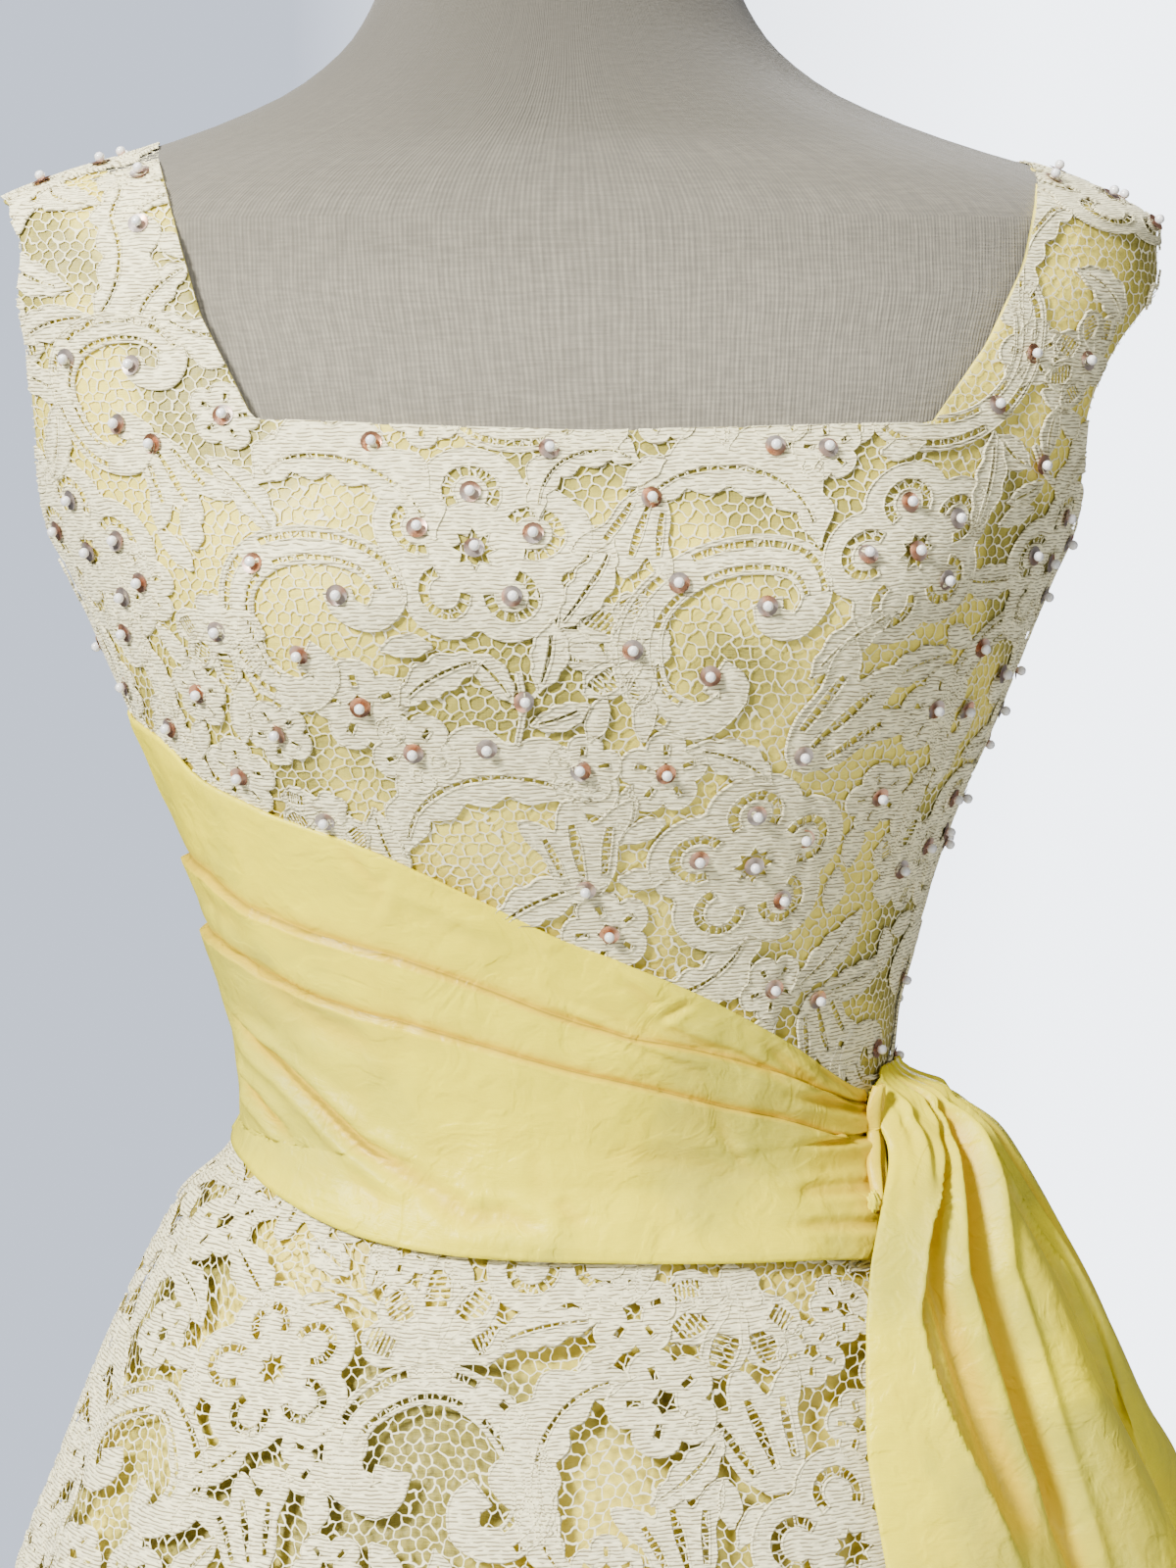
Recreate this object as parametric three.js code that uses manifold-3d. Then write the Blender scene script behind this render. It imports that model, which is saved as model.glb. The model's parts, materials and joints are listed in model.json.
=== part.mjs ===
// A sleeveless evening gown on a limbless dress form: a yellow satin bodice covered with lace,
// a pleated satin sash that falls to a draped tail at one hip, and a long satin skirt with a
// loose lace skirt over it. Millimetres, +Z up, the front faces -Y.
// The origin is the middle of the stand's underside.

import * as THREE from 'three';
import { mergeVertices } from 'three/addons/utils/BufferGeometryUtils.js';
import Module from 'manifold-3d';

const wasm = await Module();
wasm.setup();

// ---------------------------------------------------------------- driving dimensions

// Horizontal sections of the worn bodice, and of the form that fills it, from the waist up.
// half is the half width, front and back the depths from the axis, square the exponent of the
// section (2 is an ellipse, more is squarer).
const FIGURE = [
  { z: 1015, half: 116, front: 88, back: 89, square: 2.2 },
  { z: 1030, half: 114, front: 87, back: 88, square: 2.2 },
  { z: 1064, half: 116, front: 89, back: 89, square: 2.2 },
  { z: 1092, half: 123, front: 93, back: 93, square: 2.2 },
  { z: 1120, half: 130, front: 101, back: 98, square: 2.25 },
  { z: 1140, half: 137, front: 108, back: 102, square: 2.3 },
  { z: 1162, half: 147, front: 115, back: 106, square: 2.3 },
  { z: 1190, half: 159, front: 121, back: 110, square: 2.3 },
  { z: 1216, half: 170, front: 123, back: 113, square: 2.3 },
  { z: 1246, half: 184, front: 117, back: 115, square: 2.3 },
  { z: 1275, half: 195, front: 108, back: 114, square: 2.3 },
  { z: 1300, half: 204, front: 97, back: 110, square: 2.3 },
  { z: 1322, half: 212, front: 87, back: 103, square: 2.3 },
  { z: 1342, half: 212, front: 76, back: 95, square: 2.3 },
  { z: 1352, half: 199, front: 70, back: 89, square: 2.3 },
  { z: 1360, half: 181, front: 66, back: 84, square: 2.3 },
  { z: 1368, half: 154, front: 61, back: 79, square: 2.3 },
  { z: 1378, half: 124, front: 58, back: 74, square: 2.25 },
  { z: 1392, half: 94, front: 54, back: 69, square: 2.2 },
  { z: 1410, half: 74, front: 49, back: 63, square: 2.15 },
  { z: 1430, half: 64, front: 45, back: 59, square: 2.1 },
  { z: 1455, half: 58, front: 42, back: 57, square: 2.05 },
  { z: 1480, half: 56, front: 41, back: 56, square: 2.0 },
];

// The two soft peaks of the bodice front.
const BUST = { x: 88, z: 1214, depth: 9, width: 38, height: 34 };

// Horizontal sections of the satin skirt, from the hem up.
const SKIRT = [
  { z: 25, half: 372, front: 354, back: 365, square: 2.0 },
  { z: 150, half: 351, front: 331, back: 343, square: 2.0 },
  { z: 300, half: 324, front: 298, back: 312, square: 2.0 },
  { z: 480, half: 288, front: 255, back: 271, square: 2.0 },
  { z: 640, half: 251, front: 210, back: 229, square: 2.0 },
  { z: 760, half: 221, front: 174, back: 196, square: 2.0 },
  { z: 840, half: 199, front: 148, back: 171, square: 2.0 },
  { z: 882, half: 186, front: 134, back: 156, square: 2.0 },
  { z: 910, half: 175, front: 124, back: 144, square: 2.05 },
  { z: 938, half: 164, front: 114, back: 131, square: 2.1 },
  { z: 966, half: 152, front: 104, back: 118, square: 2.15 },
  { z: 994, half: 138, front: 96, back: 106, square: 2.2 },
  { z: 1008, half: 130, front: 91, back: 98, square: 2.2 },
  { z: 1022, half: 120, front: 87, back: 91, square: 2.2 },
  { z: 1030, half: 114, front: 87, back: 88, square: 2.2 },
];

// Horizontal sections of the dress form below the waist.
const HIPS = [
  { z: 820, half: 163, front: 98, back: 112, square: 2.2 },
  { z: 850, half: 166, front: 99, back: 115, square: 2.2 },
  { z: 900, half: 157, front: 95, back: 113, square: 2.2 },
  { z: 950, half: 138, front: 88, back: 103, square: 2.2 },
  { z: 990, half: 120, front: 83, back: 92, square: 2.2 },
  { z: 1015, half: 111.6, front: 83.5, back: 86, square: 2.2 },
];

// Long soft folds of the two skirts: the angle and half width of each crest in degrees, its
// depth at the hem and the height where it starts. Both skirts share them.
const SKIRT_FOLDS = [
  { at: 9, width: 11, depth: 20, start: 1000 },
  { at: 31, width: 12, depth: 26, start: 960 },
  { at: 54, width: 11, depth: 19, start: 985 },
  { at: 74, width: 10, depth: 23, start: 1000 },
  { at: 97, width: 12, depth: 24, start: 990 },
  { at: 118, width: 10, depth: 18, start: 950 },
  { at: 138, width: 11, depth: 24, start: 995 },
  { at: 161, width: 11, depth: 20, start: 1005 },
  { at: 182, width: 10, depth: 23, start: 1010 },
  { at: 202, width: 9, depth: 22, start: 1015 },
  { at: 219, width: 9, depth: 24, start: 1012 },
  { at: 239, width: 12, depth: 23, start: 980 },
  { at: 264, width: 12, depth: 16, start: 900 },
  { at: 289, width: 12, depth: 19, start: 920 },
  { at: 313, width: 11, depth: 24, start: 985 },
  { at: 335, width: 11, depth: 20, start: 1000 },
  { at: 352, width: 8, depth: 18, start: 1000 },
];
const FOLD_GROWTH = 0.8;

// Walls and the spaces between layers.
const WALL = { bodice: 2, satinSkirt: 1.6, laceSkirt: 1.2, sash: 1.5, tail: 1.6 };
const SEAM_GAP = 0.3;
const FORM_CLEARANCE = { body: 3.2, shoulders: 0.4, from: 1322, to: 1346 };
const LACE_STAND_OFF = { below: 5, atWaist: 0.5, free: 6.3, run: 20 };

const WAIST_Z = 1030;
const BODICE_TOP_Z = 1378;
const SATIN_HEM_Z = 29;
const LACE_HEM_Z = 25;
const SHOULDER_SEAM_Y = 6;

// The square neck, seen from the front and from the back: x and z of each corner, left to right.
const FRONT_NECK = [
  { x: -139, z: 1366 }, { x: -132, z: 1337 }, { x: -125, z: 1311 }, { x: -108, z: 1276 },
  { x: 0, z: 1271 }, { x: 114, z: 1273 }, { x: 136, z: 1300 }, { x: 151, z: 1327 }, { x: 161, z: 1358 },
];
const BACK_NECK = [
  { x: -139, z: 1366 }, { x: -128, z: 1330 }, { x: -112, z: 1282 }, { x: -70, z: 1262 },
  { x: 0, z: 1256 }, { x: 74, z: 1262 }, { x: 118, z: 1282 }, { x: 146, z: 1330 }, { x: 161, z: 1358 },
];
const NECK_CUT_TOP_Z = 1400;

// Outlines of the two armholes seen from the side: y and z, from the lowest point forwards.
const LEFT_ARMHOLE = [
  { y: 2, z: 1214 }, { y: -27, z: 1238 }, { y: -46, z: 1274 }, { y: -50, z: 1313 },
  { y: -38, z: 1346 }, { y: 2, z: 1355 }, { y: 45, z: 1346 }, { y: 56, z: 1308 },
  { y: 51, z: 1268 }, { y: 32, z: 1236 },
];
const RIGHT_ARMHOLE = [
  { y: 2, z: 1212 }, { y: -32, z: 1233 }, { y: -53, z: 1260 }, { y: -54, z: 1283 },
  { y: -33, z: 1313 }, { y: 2, z: 1340 }, { y: 38, z: 1322 }, { y: 54, z: 1292 },
  { y: 52, z: 1262 }, { y: 34, z: 1234 },
];
const ARMHOLE_STEPS = 30;
// The armholes cut only what lies further out than this.
const ARMHOLE_INNER_X = 100;

// The sash is one band, high under the left arm and low at the right hip, alike in front and at
// the back. from is the angle round from the left side seam.
const SASH = [
  { from: 0, top: 1178, bottom: 1024 },
  { from: 20, top: 1172, bottom: 1020 },
  { from: 32, top: 1157, bottom: 1015 },
  { from: 45, top: 1147, bottom: 1009 },
  { from: 60, top: 1137, bottom: 1002 },
  { from: 75, top: 1120, bottom: 998 },
  { from: 90, top: 1101, bottom: 996 },
  { from: 105, top: 1085, bottom: 994 },
  { from: 120, top: 1069, bottom: 992 },
  { from: 145, top: 1045, bottom: 985 },
  { from: 180, top: 1038, bottom: 980 },
];
const SASH_OFFSET = { top: 0.9, bottom: 3.7, overLace: 2.6, blend: 20 };
const SASH_FRONT_END = { top: 326, bottom: 311 };
const SASH_BACK_START = 2;
// Pleats of the sash: the share of its width where each one folds under, at the left side seam
// and at the other end, and how proud the fold stands.
const SASH_PLEATS = [
  { left: 0.26, right: 0.46, depth: 1.2 },
  { left: 0.52, right: 0.70, depth: 1.8 },
  { left: 0.71, right: 0.90, depth: 2.0 },
];
// Shares of the sash's width over which a pleat's edge rises and then fades, and how far round from
// the left side seam the pleats reach their other end.
const PLEAT_EDGE = 0.012;
const PLEAT_FADE = 0.2;
const PLEAT_REACH = 145;
// The sash's two sides part at the left side seam by twice this angle.
const SASH_SEAM_TURN = 0.07;

// The tail of the sash hangs from the right hip: the angles of its front and back edges, how far
// those edges and its middle stand off the satin skirt, and how deep its folds are.
const TAIL = [
  { z: 330, front: 308, back: 405, edge: 12, middle: 33, folds: 15 },
  { z: 520, front: 307, back: 404, edge: 11.5, middle: 32, folds: 14 },
  { z: 700, front: 305.5, back: 402, edge: 11, middle: 31, folds: 13 },
  { z: 840, front: 304, back: 399, edge: 10.5, middle: 30, folds: 11 },
  { z: 894, front: 303.5, back: 396, edge: 10, middle: 30, folds: 10 },
  { z: 925, front: 304, back: 392, edge: 10, middle: 30, folds: 9 },
  { z: 955, front: 306, back: 387, edge: 10, middle: 29, folds: 8 },
  { z: 985, front: 311.5, back: 380, edge: 9, middle: 26, folds: 6 },
  { z: 1005, front: 315.5, back: 372, edge: 7, middle: 21, folds: 4.5 },
  { z: 1025, front: 320.3, back: 361, edge: 6.4, middle: 14, folds: 3 },
  { z: 1038, front: 324.4, back: 357, edge: 4.5, middle: 8.5, folds: 1.5 },
  { z: 1047, front: 327.2, back: 352, edge: 4.2, middle: 6, folds: 0.8 },
];
// Folds across the tail, from its front edge to its back edge: place and half width as shares of
// its width, and height as a share of the row's fold depth.
const TAIL_FOLDS = [
  { at: 0.10, width: 0.16, height: 0.35 },
  { at: 0.37, width: 0.09, height: 0.8 },
  { at: 0.56, width: 0.10, height: 1.0 },
  { at: 0.76, width: 0.10, height: 0.9 },
  { at: 0.93, width: 0.08, height: 0.5 },
];

// How flat the tail's middle is, and how deep it sinks between its folds.
const TAIL_ROUNDNESS = 0.8;
const TAIL_HOLLOW = 0.6;

// The dress form's plates and the stand under it.
const ARM_PLATE_X = 168;
const NECK_TOP_Z = 1480;
const FORM_BOTTOM_Z = 820;
const CAP = { height: 9, inset: 1.5 };
const CAP_TOP = { straight: 0.6, shrink: 6 };
const POLE = { radius: 14, bottom: 34, steps: 18 };
const BASE = {
  radius: 140, rim: 6, rimSlope: 5, height: 18, shoulder: 30, bossRadius: 26, bossFoot: 3,
  bossHeight: 33.7, bossTop: 20, steps: 36,
};

// Steps of the faceted walls.
const ROUND_STEPS = 48;
const SKIRT_STEPS = 30;
const BODICE_Z = [
  WAIST_Z + SEAM_GAP, 1052, 1076, 1101, 1128, 1155, 1182, 1207, 1230, 1255, 1280, 1303, 1322, 1336,
  1346, 1354, 1361, 1368, BODICE_TOP_Z,
];
const FORM_Z = [
  FORM_BOTTOM_Z, 850, 900, 950, 990, 1013, WAIST_Z + SEAM_GAP, 1076, 1128, 1182, 1230, 1280, 1322,
  1336, 1346, 1354, 1361, 1368, BODICE_TOP_Z, 1392, 1410, 1430, 1455, NECK_TOP_Z,
];
const SKIRT_Z = [200, 400, 600, 770, 870, 935, 972, 990, 1004, 1017, 1029.9];
const SASH_SHARES = [0, 0.15, 0.29, 0.42, 0.54, 0.62, 0.7, 0.79, 0.9, 1];
const SASH_STEPS = 20;
const TAIL_STEPS = 24;
const TAIL_Z = [330, 480, 640, 780, 880, 935, 970, 993, 1010, 1025, 1038, 1047];

// ---------------------------------------------------------------- curves and surfaces

// A smooth curve through a table's rows that never overshoots them.
function curve(rows, key, value, column) {
  const n = rows.length;
  const x = Math.min(Math.max(value, rows[0][key]), rows[n - 1][key]);
  let i = 0;
  while (i < n - 2 && x > rows[i + 1][key]) i += 1;
  const slope = (k) => (rows[k + 1][column] - rows[k][column]) / (rows[k + 1][key] - rows[k][key]);
  const tangent = (k) => {
    if (k === 0) return slope(0);
    if (k === n - 1) return slope(n - 2);
    const before = slope(k - 1);
    const after = slope(k);
    if (before * after <= 0) return 0;
    const left = rows[k][key] - rows[k - 1][key];
    const right = rows[k + 1][key] - rows[k][key];
    const weightBefore = 2 * right + left;
    const weightAfter = right + 2 * left;
    return (weightBefore + weightAfter) / (weightBefore / before + weightAfter / after);
  };
  const span = rows[i + 1][key] - rows[i][key];
  const t = (x - rows[i][key]) / span;
  const a = rows[i][column];
  const b = rows[i + 1][column];
  return (2 * t ** 3 - 3 * t ** 2 + 1) * a + (t ** 3 - 2 * t ** 2 + t) * span * tangent(i)
    + (3 * t ** 2 - 2 * t ** 3) * b + (t ** 3 - t ** 2) * span * tangent(i + 1);
}

function smooth(t) {
  const c = Math.min(Math.max(t, 0), 1);
  return c * c * (3 - 2 * c);
}

// A point of a table's section. Angles are in degrees: 0 is the right side, 90 the back,
// 180 the left side and 270 the front.
function sectionPoint(rows, angle, z) {
  const turn = THREE.MathUtils.degToRad(angle);
  const c = Math.cos(turn);
  const s = Math.sin(turn);
  const power = 2 / curve(rows, 'z', z, 'square');
  const depth = s < 0 ? -curve(rows, 'z', z, 'front') : curve(rows, 'z', z, 'back');
  return new THREE.Vector3(
    Math.sign(c) * curve(rows, 'z', z, 'half') * Math.abs(c) ** power,
    depth * Math.abs(s) ** power,
    z,
  );
}

function bodicePoint(angle, z) {
  const p = sectionPoint(FIGURE, angle, z);
  const peak = (x) => Math.exp(-(((p.x - x) / BUST.width) ** 2) - ((z - BUST.z) / BUST.height) ** 2);
  const facing = Math.min(Math.max(-2 * Math.sin(THREE.MathUtils.degToRad(angle)), 0), 1);
  p.y -= BUST.depth * facing * (peak(BUST.x) + peak(-BUST.x));
  return p;
}

function skirtPoint(angle, z) {
  const p = sectionPoint(SKIRT, angle, z);
  let proud = 0;
  for (const fold of SKIRT_FOLDS) {
    const away = Math.abs(((angle - fold.at + 540) % 360) - 180) / fold.width;
    const drop = (fold.start - z) / (fold.start - LACE_HEM_Z);
    if (away < 1 && drop > 0) proud += fold.depth * drop ** FOLD_GROWTH * Math.cos(away * Math.PI / 2) ** 2;
  }
  const reach = Math.hypot(p.x, p.y);
  p.x *= 1 + proud / reach;
  p.y *= 1 + proud / reach;
  return p;
}

function gownPoint(angle, z) {
  return z > WAIST_Z ? bodicePoint(angle, z) : skirtPoint(angle, z);
}

// A surface moved out along its own normal.
function moved(surface, angle, z, out) {
  const turn = 0.4;
  const rise = 1;
  const across = surface(angle + turn, z).sub(surface(angle - turn, z));
  const up = surface(angle, z + rise).sub(surface(angle, z - rise));
  return across.cross(up).normalize().multiplyScalar(out).add(surface(angle, z));
}

// ---------------------------------------------------------------- solids

// A closed wall between an outer and an inner sheet, each a function of a column and a row.
// A round wall joins its last column to its first.
function wall(outer, inner, columns, rows, round) {
  const positions = [];
  const faces = [];
  const index = (side, i, j) => (side * columns + (i % columns)) * rows + j;
  for (const sheet of [outer, inner]) {
    for (let i = 0; i < columns; i += 1) {
      for (let j = 0; j < rows; j += 1) positions.push(...sheet(i, j).toArray());
    }
  }
  const quad = (a, b, c, d) => faces.push(a, b, c, a, c, d);
  const spans = round ? columns : columns - 1;
  for (let i = 0; i < spans; i += 1) {
    for (let j = 0; j < rows - 1; j += 1) {
      quad(index(0, i, j), index(0, i + 1, j), index(0, i + 1, j + 1), index(0, i, j + 1));
      quad(index(1, i, j), index(1, i, j + 1), index(1, i + 1, j + 1), index(1, i + 1, j));
    }
    const top = rows - 1;
    quad(index(0, i, 0), index(1, i, 0), index(1, i + 1, 0), index(0, i + 1, 0));
    quad(index(0, i, top), index(0, i + 1, top), index(1, i + 1, top), index(1, i, top));
  }
  if (!round) {
    const end = columns - 1;
    for (let j = 0; j < rows - 1; j += 1) {
      quad(index(0, 0, j), index(0, 0, j + 1), index(1, 0, j + 1), index(1, 0, j));
      quad(index(0, end, j), index(1, end, j), index(1, end, j + 1), index(0, end, j + 1));
    }
  }
  return meshGeometry(positions, faces);
}

// A closed lump through round sections, with flat ends.
function lump(point, columns, heights) {
  const positions = [];
  const faces = [];
  heights.forEach((z) => {
    for (let i = 0; i < columns; i += 1) positions.push(...point(i * 360 / columns, z).toArray());
  });
  const top = heights.length - 1;
  const index = (i, j) => j * columns + (i % columns);
  for (let j = 0; j < top; j += 1) {
    for (let i = 0; i < columns; i += 1) {
      faces.push(index(i, j), index(i + 1, j), index(i + 1, j + 1));
      faces.push(index(i, j), index(i + 1, j + 1), index(i, j + 1));
    }
  }
  positions.push(0, 0, heights[0], 0, 0, heights[top]);
  const low = columns * heights.length;
  for (let i = 0; i < columns; i += 1) {
    faces.push(low, index(i + 1, 0), index(i, 0));
    faces.push(low + 1, index(i, top), index(i + 1, top));
  }
  return meshGeometry(positions, faces);
}

function meshGeometry(positions, faces) {
  const geometry = new THREE.BufferGeometry();
  geometry.setAttribute('position', new THREE.Float32BufferAttribute(positions, 3));
  geometry.setIndex(faces);
  return geometry;
}

// A prism of an outline, along Y when seen from the front, or along X when seen from the side.
function prism(outline, along, from, to) {
  const shape = new THREE.Shape(outline.map(([across, up]) => new THREE.Vector2(across, up)));
  const geometry = new THREE.ExtrudeGeometry(shape, { depth: to - from, bevelEnabled: false });
  const up = new THREE.Vector3(0, 0, 1);
  const basis = new THREE.Matrix4();
  if (along === 'y') {
    basis.makeBasis(new THREE.Vector3(1, 0, 0), up, new THREE.Vector3(0, -1, 0));
    geometry.applyMatrix4(basis).translate(0, to, 0);
  } else {
    basis.makeBasis(new THREE.Vector3(0, 1, 0), up, new THREE.Vector3(1, 0, 0));
    geometry.applyMatrix4(basis).translate(from, 0, 0);
  }
  return geometry;
}

function block(low, high) {
  const size = high.map((value, axis) => value - low[axis]);
  const middle = high.map((value, axis) => (value + low[axis]) / 2);
  return new THREE.BoxGeometry(...size).translate(...middle);
}

function toSolid(geometry) {
  const bare = geometry.clone();
  bare.deleteAttribute('normal');
  bare.deleteAttribute('uv');
  const merged = mergeVertices(bare, 1e-4);
  const vertProperties = new Float32Array(merged.attributes.position.array);
  const triVerts = new Uint32Array(merged.index.array);
  return new wasm.Manifold(new wasm.Mesh({ numProp: 3, vertProperties, triVerts }));
}

function toGeometry(solid) {
  const { vertProperties, triVerts } = solid.getMesh();
  return meshGeometry(Array.from(vertProperties), Array.from(triVerts));
}

function cut(solid, ...tools) {
  return tools.reduce((left, tool) => left.subtract(toSolid(tool)), solid);
}

// ---------------------------------------------------------------- bodice

// Further out than any part of the gown, and higher.
const FAR = 600;
const ABOVE = 2000;

function neckCut(rows, from, to) {
  const first = rows[0];
  const last = rows[rows.length - 1];
  const outline = rows.map(({ x, z }) => [x, z]);
  outline.push([last.x, NECK_CUT_TOP_Z], [first.x, NECK_CUT_TOP_Z]);
  return prism(outline, 'y', from, to);
}

function armholeCut(rows, from, to) {
  const corners = rows.map(({ y, z }) => new THREE.Vector3(y, z, 0));
  const loop = new THREE.CatmullRomCurve3(corners, true).getPoints(ARMHOLE_STEPS).slice(0, -1);
  return prism(loop.map((p) => [p.x, p.y]), 'x', from, to);
}

function bodicePanels() {
  const angle = (i) => i * 360 / ROUND_STEPS;
  const shell = wall(
    (i, j) => moved(bodicePoint, angle(i), BODICE_Z[j], 0),
    (i, j) => moved(bodicePoint, angle(i), BODICE_Z[j], -WALL.bodice).setZ(BODICE_Z[j]),
    ROUND_STEPS, BODICE_Z.length, true,
  );
  const opened = cut(
    toSolid(shell),
    neckCut(FRONT_NECK, -FAR, SHOULDER_SEAM_Y),
    neckCut(BACK_NECK, SHOULDER_SEAM_Y - SEAM_GAP, FAR),
    armholeCut(LEFT_ARMHOLE, -FAR, -ARMHOLE_INNER_X),
    armholeCut(RIGHT_ARMHOLE, ARMHOLE_INNER_X, FAR),
  );
  const half = SEAM_GAP / 2;
  const frontEnd = SHOULDER_SEAM_Y - half;
  const backStart = SHOULDER_SEAM_Y + half;
  const front = cut(opened, block([-FAR, frontEnd, 0], [FAR, FAR, ABOVE]));
  const back = cut(opened, block([-FAR, -FAR, 0], [FAR, backStart, ABOVE]));
  return {
    bodice_front: toGeometry(front),
    bodice_back_left: toGeometry(cut(back, block([-half, -FAR, 0], [FAR, FAR, ABOVE]))),
    bodice_back_right: toGeometry(cut(back, block([-FAR, -FAR, 0], [half, FAR, ABOVE]))),
  };
}

// ---------------------------------------------------------------- sash and tail

// The angle round from the left side seam, in degrees.
function fromLeft(angle) {
  return Math.abs(((angle % 360) + 360) % 360 - 180);
}

function sashEdge(angle, column) {
  return curve(SASH, 'from', fromLeft(angle), column);
}

function pleatRelief(angle, share) {
  const along = fromLeft(angle) / PLEAT_REACH;
  let proud = 0;
  for (const pleat of SASH_PLEATS) {
    const line = pleat.left + (pleat.right - pleat.left) * Math.min(along, 1);
    const above = share - line;
    if (above < 0) proud += pleat.depth * Math.max(1 + above / PLEAT_EDGE, 0);
    else proud += pleat.depth * (1 - smooth(above / PLEAT_FADE));
  }
  return proud;
}

function sashPanel(startAt, endAt) {
  const shares = SASH_SHARES;
  const place = (i, j) => {
    const share = shares[j];
    const angle = startAt(share) + (endAt(share) - startAt(share)) * i / SASH_STEPS;
    const top = sashEdge(angle, 'top');
    const bottom = sashEdge(angle, 'bottom');
    return { angle, share, z: bottom + (top - bottom) * share };
  };
  const offset = (share, z) => Math.max(
    SASH_OFFSET.bottom + (SASH_OFFSET.top - SASH_OFFSET.bottom) * smooth(share),
    SASH_OFFSET.overLace * (1 - smooth((z - WAIST_Z) / SASH_OFFSET.blend)),
  );
  return wall(
    (i, j) => {
      const { angle, share, z } = place(i, j);
      return moved(gownPoint, angle, z, offset(share, z) + WALL.sash + pleatRelief(angle, share));
    },
    (i, j) => {
      const { angle, share, z } = place(i, j);
      return moved(gownPoint, angle, z, offset(share, z));
    },
    SASH_STEPS + 1, shares.length, false,
  );
}

// How far the tail stands off the satin at a share of its width: a rounded sheet with folds.
function tailStandOff(share, z) {
  const edge = curve(TAIL, 'z', z, 'edge');
  const middle = curve(TAIL, 'z', z, 'middle');
  const depth = curve(TAIL, 'z', z, 'folds');
  let out = edge + (middle - edge) * Math.sin(Math.PI * share) ** TAIL_ROUNDNESS;
  out -= depth * Math.sin(Math.PI * Math.min(share, 1 - share)) * TAIL_HOLLOW;
  for (const fold of TAIL_FOLDS) {
    const away = Math.abs(share - fold.at) / fold.width;
    if (away < 1) out += depth * fold.height * Math.cos(away * Math.PI / 2) ** 2;
  }
  return out;
}

function tailPanel() {
  const sheet = (thick) => (i, j) => {
    const z = TAIL_Z[j];
    const share = i / TAIL_STEPS;
    const front = curve(TAIL, 'z', z, 'front');
    const back = curve(TAIL, 'z', z, 'back');
    const point = (angle, height) => {
      const place = (angle - front) / (back - front);
      return moved(skirtPoint, angle, height, tailStandOff(Math.min(Math.max(place, 0), 1), height));
    };
    return moved(point, front + (back - front) * share, z, thick);
  };
  return wall(sheet(WALL.tail), sheet(0), TAIL_STEPS + 1, TAIL_Z.length, false);
}

// ---------------------------------------------------------------- skirts

// Lace clings under the sash and springs free just below it.
function laceStandOff(angle, z) {
  const free = smooth((sashEdge(angle, 'bottom') - LACE_STAND_OFF.below - z) / LACE_STAND_OFF.run);
  return LACE_STAND_OFF.atWaist + (LACE_STAND_OFF.free - LACE_STAND_OFF.atWaist) * free;
}

function skirtPanel(start, hemZ, standOff, thick) {
  const heights = [hemZ, ...SKIRT_Z];
  const place = (i, j) => {
    const z = heights[j];
    const seam = THREE.MathUtils.radToDeg(SEAM_GAP / 2 / curve(SKIRT, 'z', z, 'half'));
    return { angle: start + seam + (180 - 2 * seam) * i / SKIRT_STEPS, z };
  };
  const sheet = (out) => (i, j) => {
    const { angle, z } = place(i, j);
    return moved(skirtPoint, angle, z, standOff(angle, z) + out).setZ(z);
  };
  return wall(sheet(thick), sheet(0), SKIRT_STEPS + 1, heights.length, false);
}

const satin = (start) => skirtPanel(start, SATIN_HEM_Z, () => -WALL.satinSkirt, WALL.satinSkirt);
const lace = (start) => skirtPanel(start, LACE_HEM_Z, laceStandOff, WALL.laceSkirt);

// ---------------------------------------------------------------- dress form and stand

function formTorso() {
  const { body, shoulders, from, to } = FORM_CLEARANCE;
  const point = (angle, z) => {
    if (z < FIGURE[0].z) return sectionPoint(HIPS, angle, z);
    const clearance = body + (shoulders - body) * smooth((z - from) / (to - from));
    return moved(bodicePoint, angle, z, -WALL.bodice - clearance).setZ(z);
  };
  const figure = lump(point, ROUND_STEPS, FORM_Z);
  return toGeometry(cut(
    toSolid(figure),
    block([-FAR, -FAR, WAIST_Z], [-ARM_PLATE_X, FAR, ABOVE]),
    block([ARM_PLATE_X, -FAR, WAIST_Z], [FAR, FAR, ABOVE]),
  ));
}

function neckCap() {
  const bottom = NECK_TOP_Z + SEAM_GAP;
  const steps = [
    { rise: 0, shrink: CAP.inset }, { rise: CAP.height * CAP_TOP.straight, shrink: CAP.inset },
    { rise: CAP.height, shrink: CAP.inset + CAP_TOP.shrink },
  ];
  const point = (angle, z) => {
    const { shrink } = steps.find((step) => Math.abs(bottom + step.rise - z) < 0.01);
    return moved(bodicePoint, angle, NECK_TOP_Z, -(WALL.bodice + shrink)).setZ(z);
  };
  return lump(point, ROUND_STEPS, steps.map((step) => bottom + step.rise));
}

function standPole() {
  const length = FORM_BOTTOM_Z - SEAM_GAP - POLE.bottom;
  return new THREE.CylinderGeometry(POLE.radius, POLE.radius, length, POLE.steps)
    .rotateX(Math.PI / 2).translate(0, 0, POLE.bottom + length / 2);
}

function standBase() {
  const profile = [
    [0, 0], [BASE.radius, 0], [BASE.radius, BASE.rim],
    [BASE.radius - BASE.rimSlope, BASE.rim + BASE.rimSlope],
    [BASE.bossRadius + BASE.shoulder, BASE.height], [BASE.bossRadius, BASE.height + BASE.bossFoot],
    [BASE.bossTop, BASE.bossHeight], [0, BASE.bossHeight],
  ].map(([x, y]) => new THREE.Vector2(x, y));
  return new THREE.LatheGeometry(profile, BASE.steps).rotateX(Math.PI / 2);
}

// ---------------------------------------------------------------- the whole gown

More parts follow.
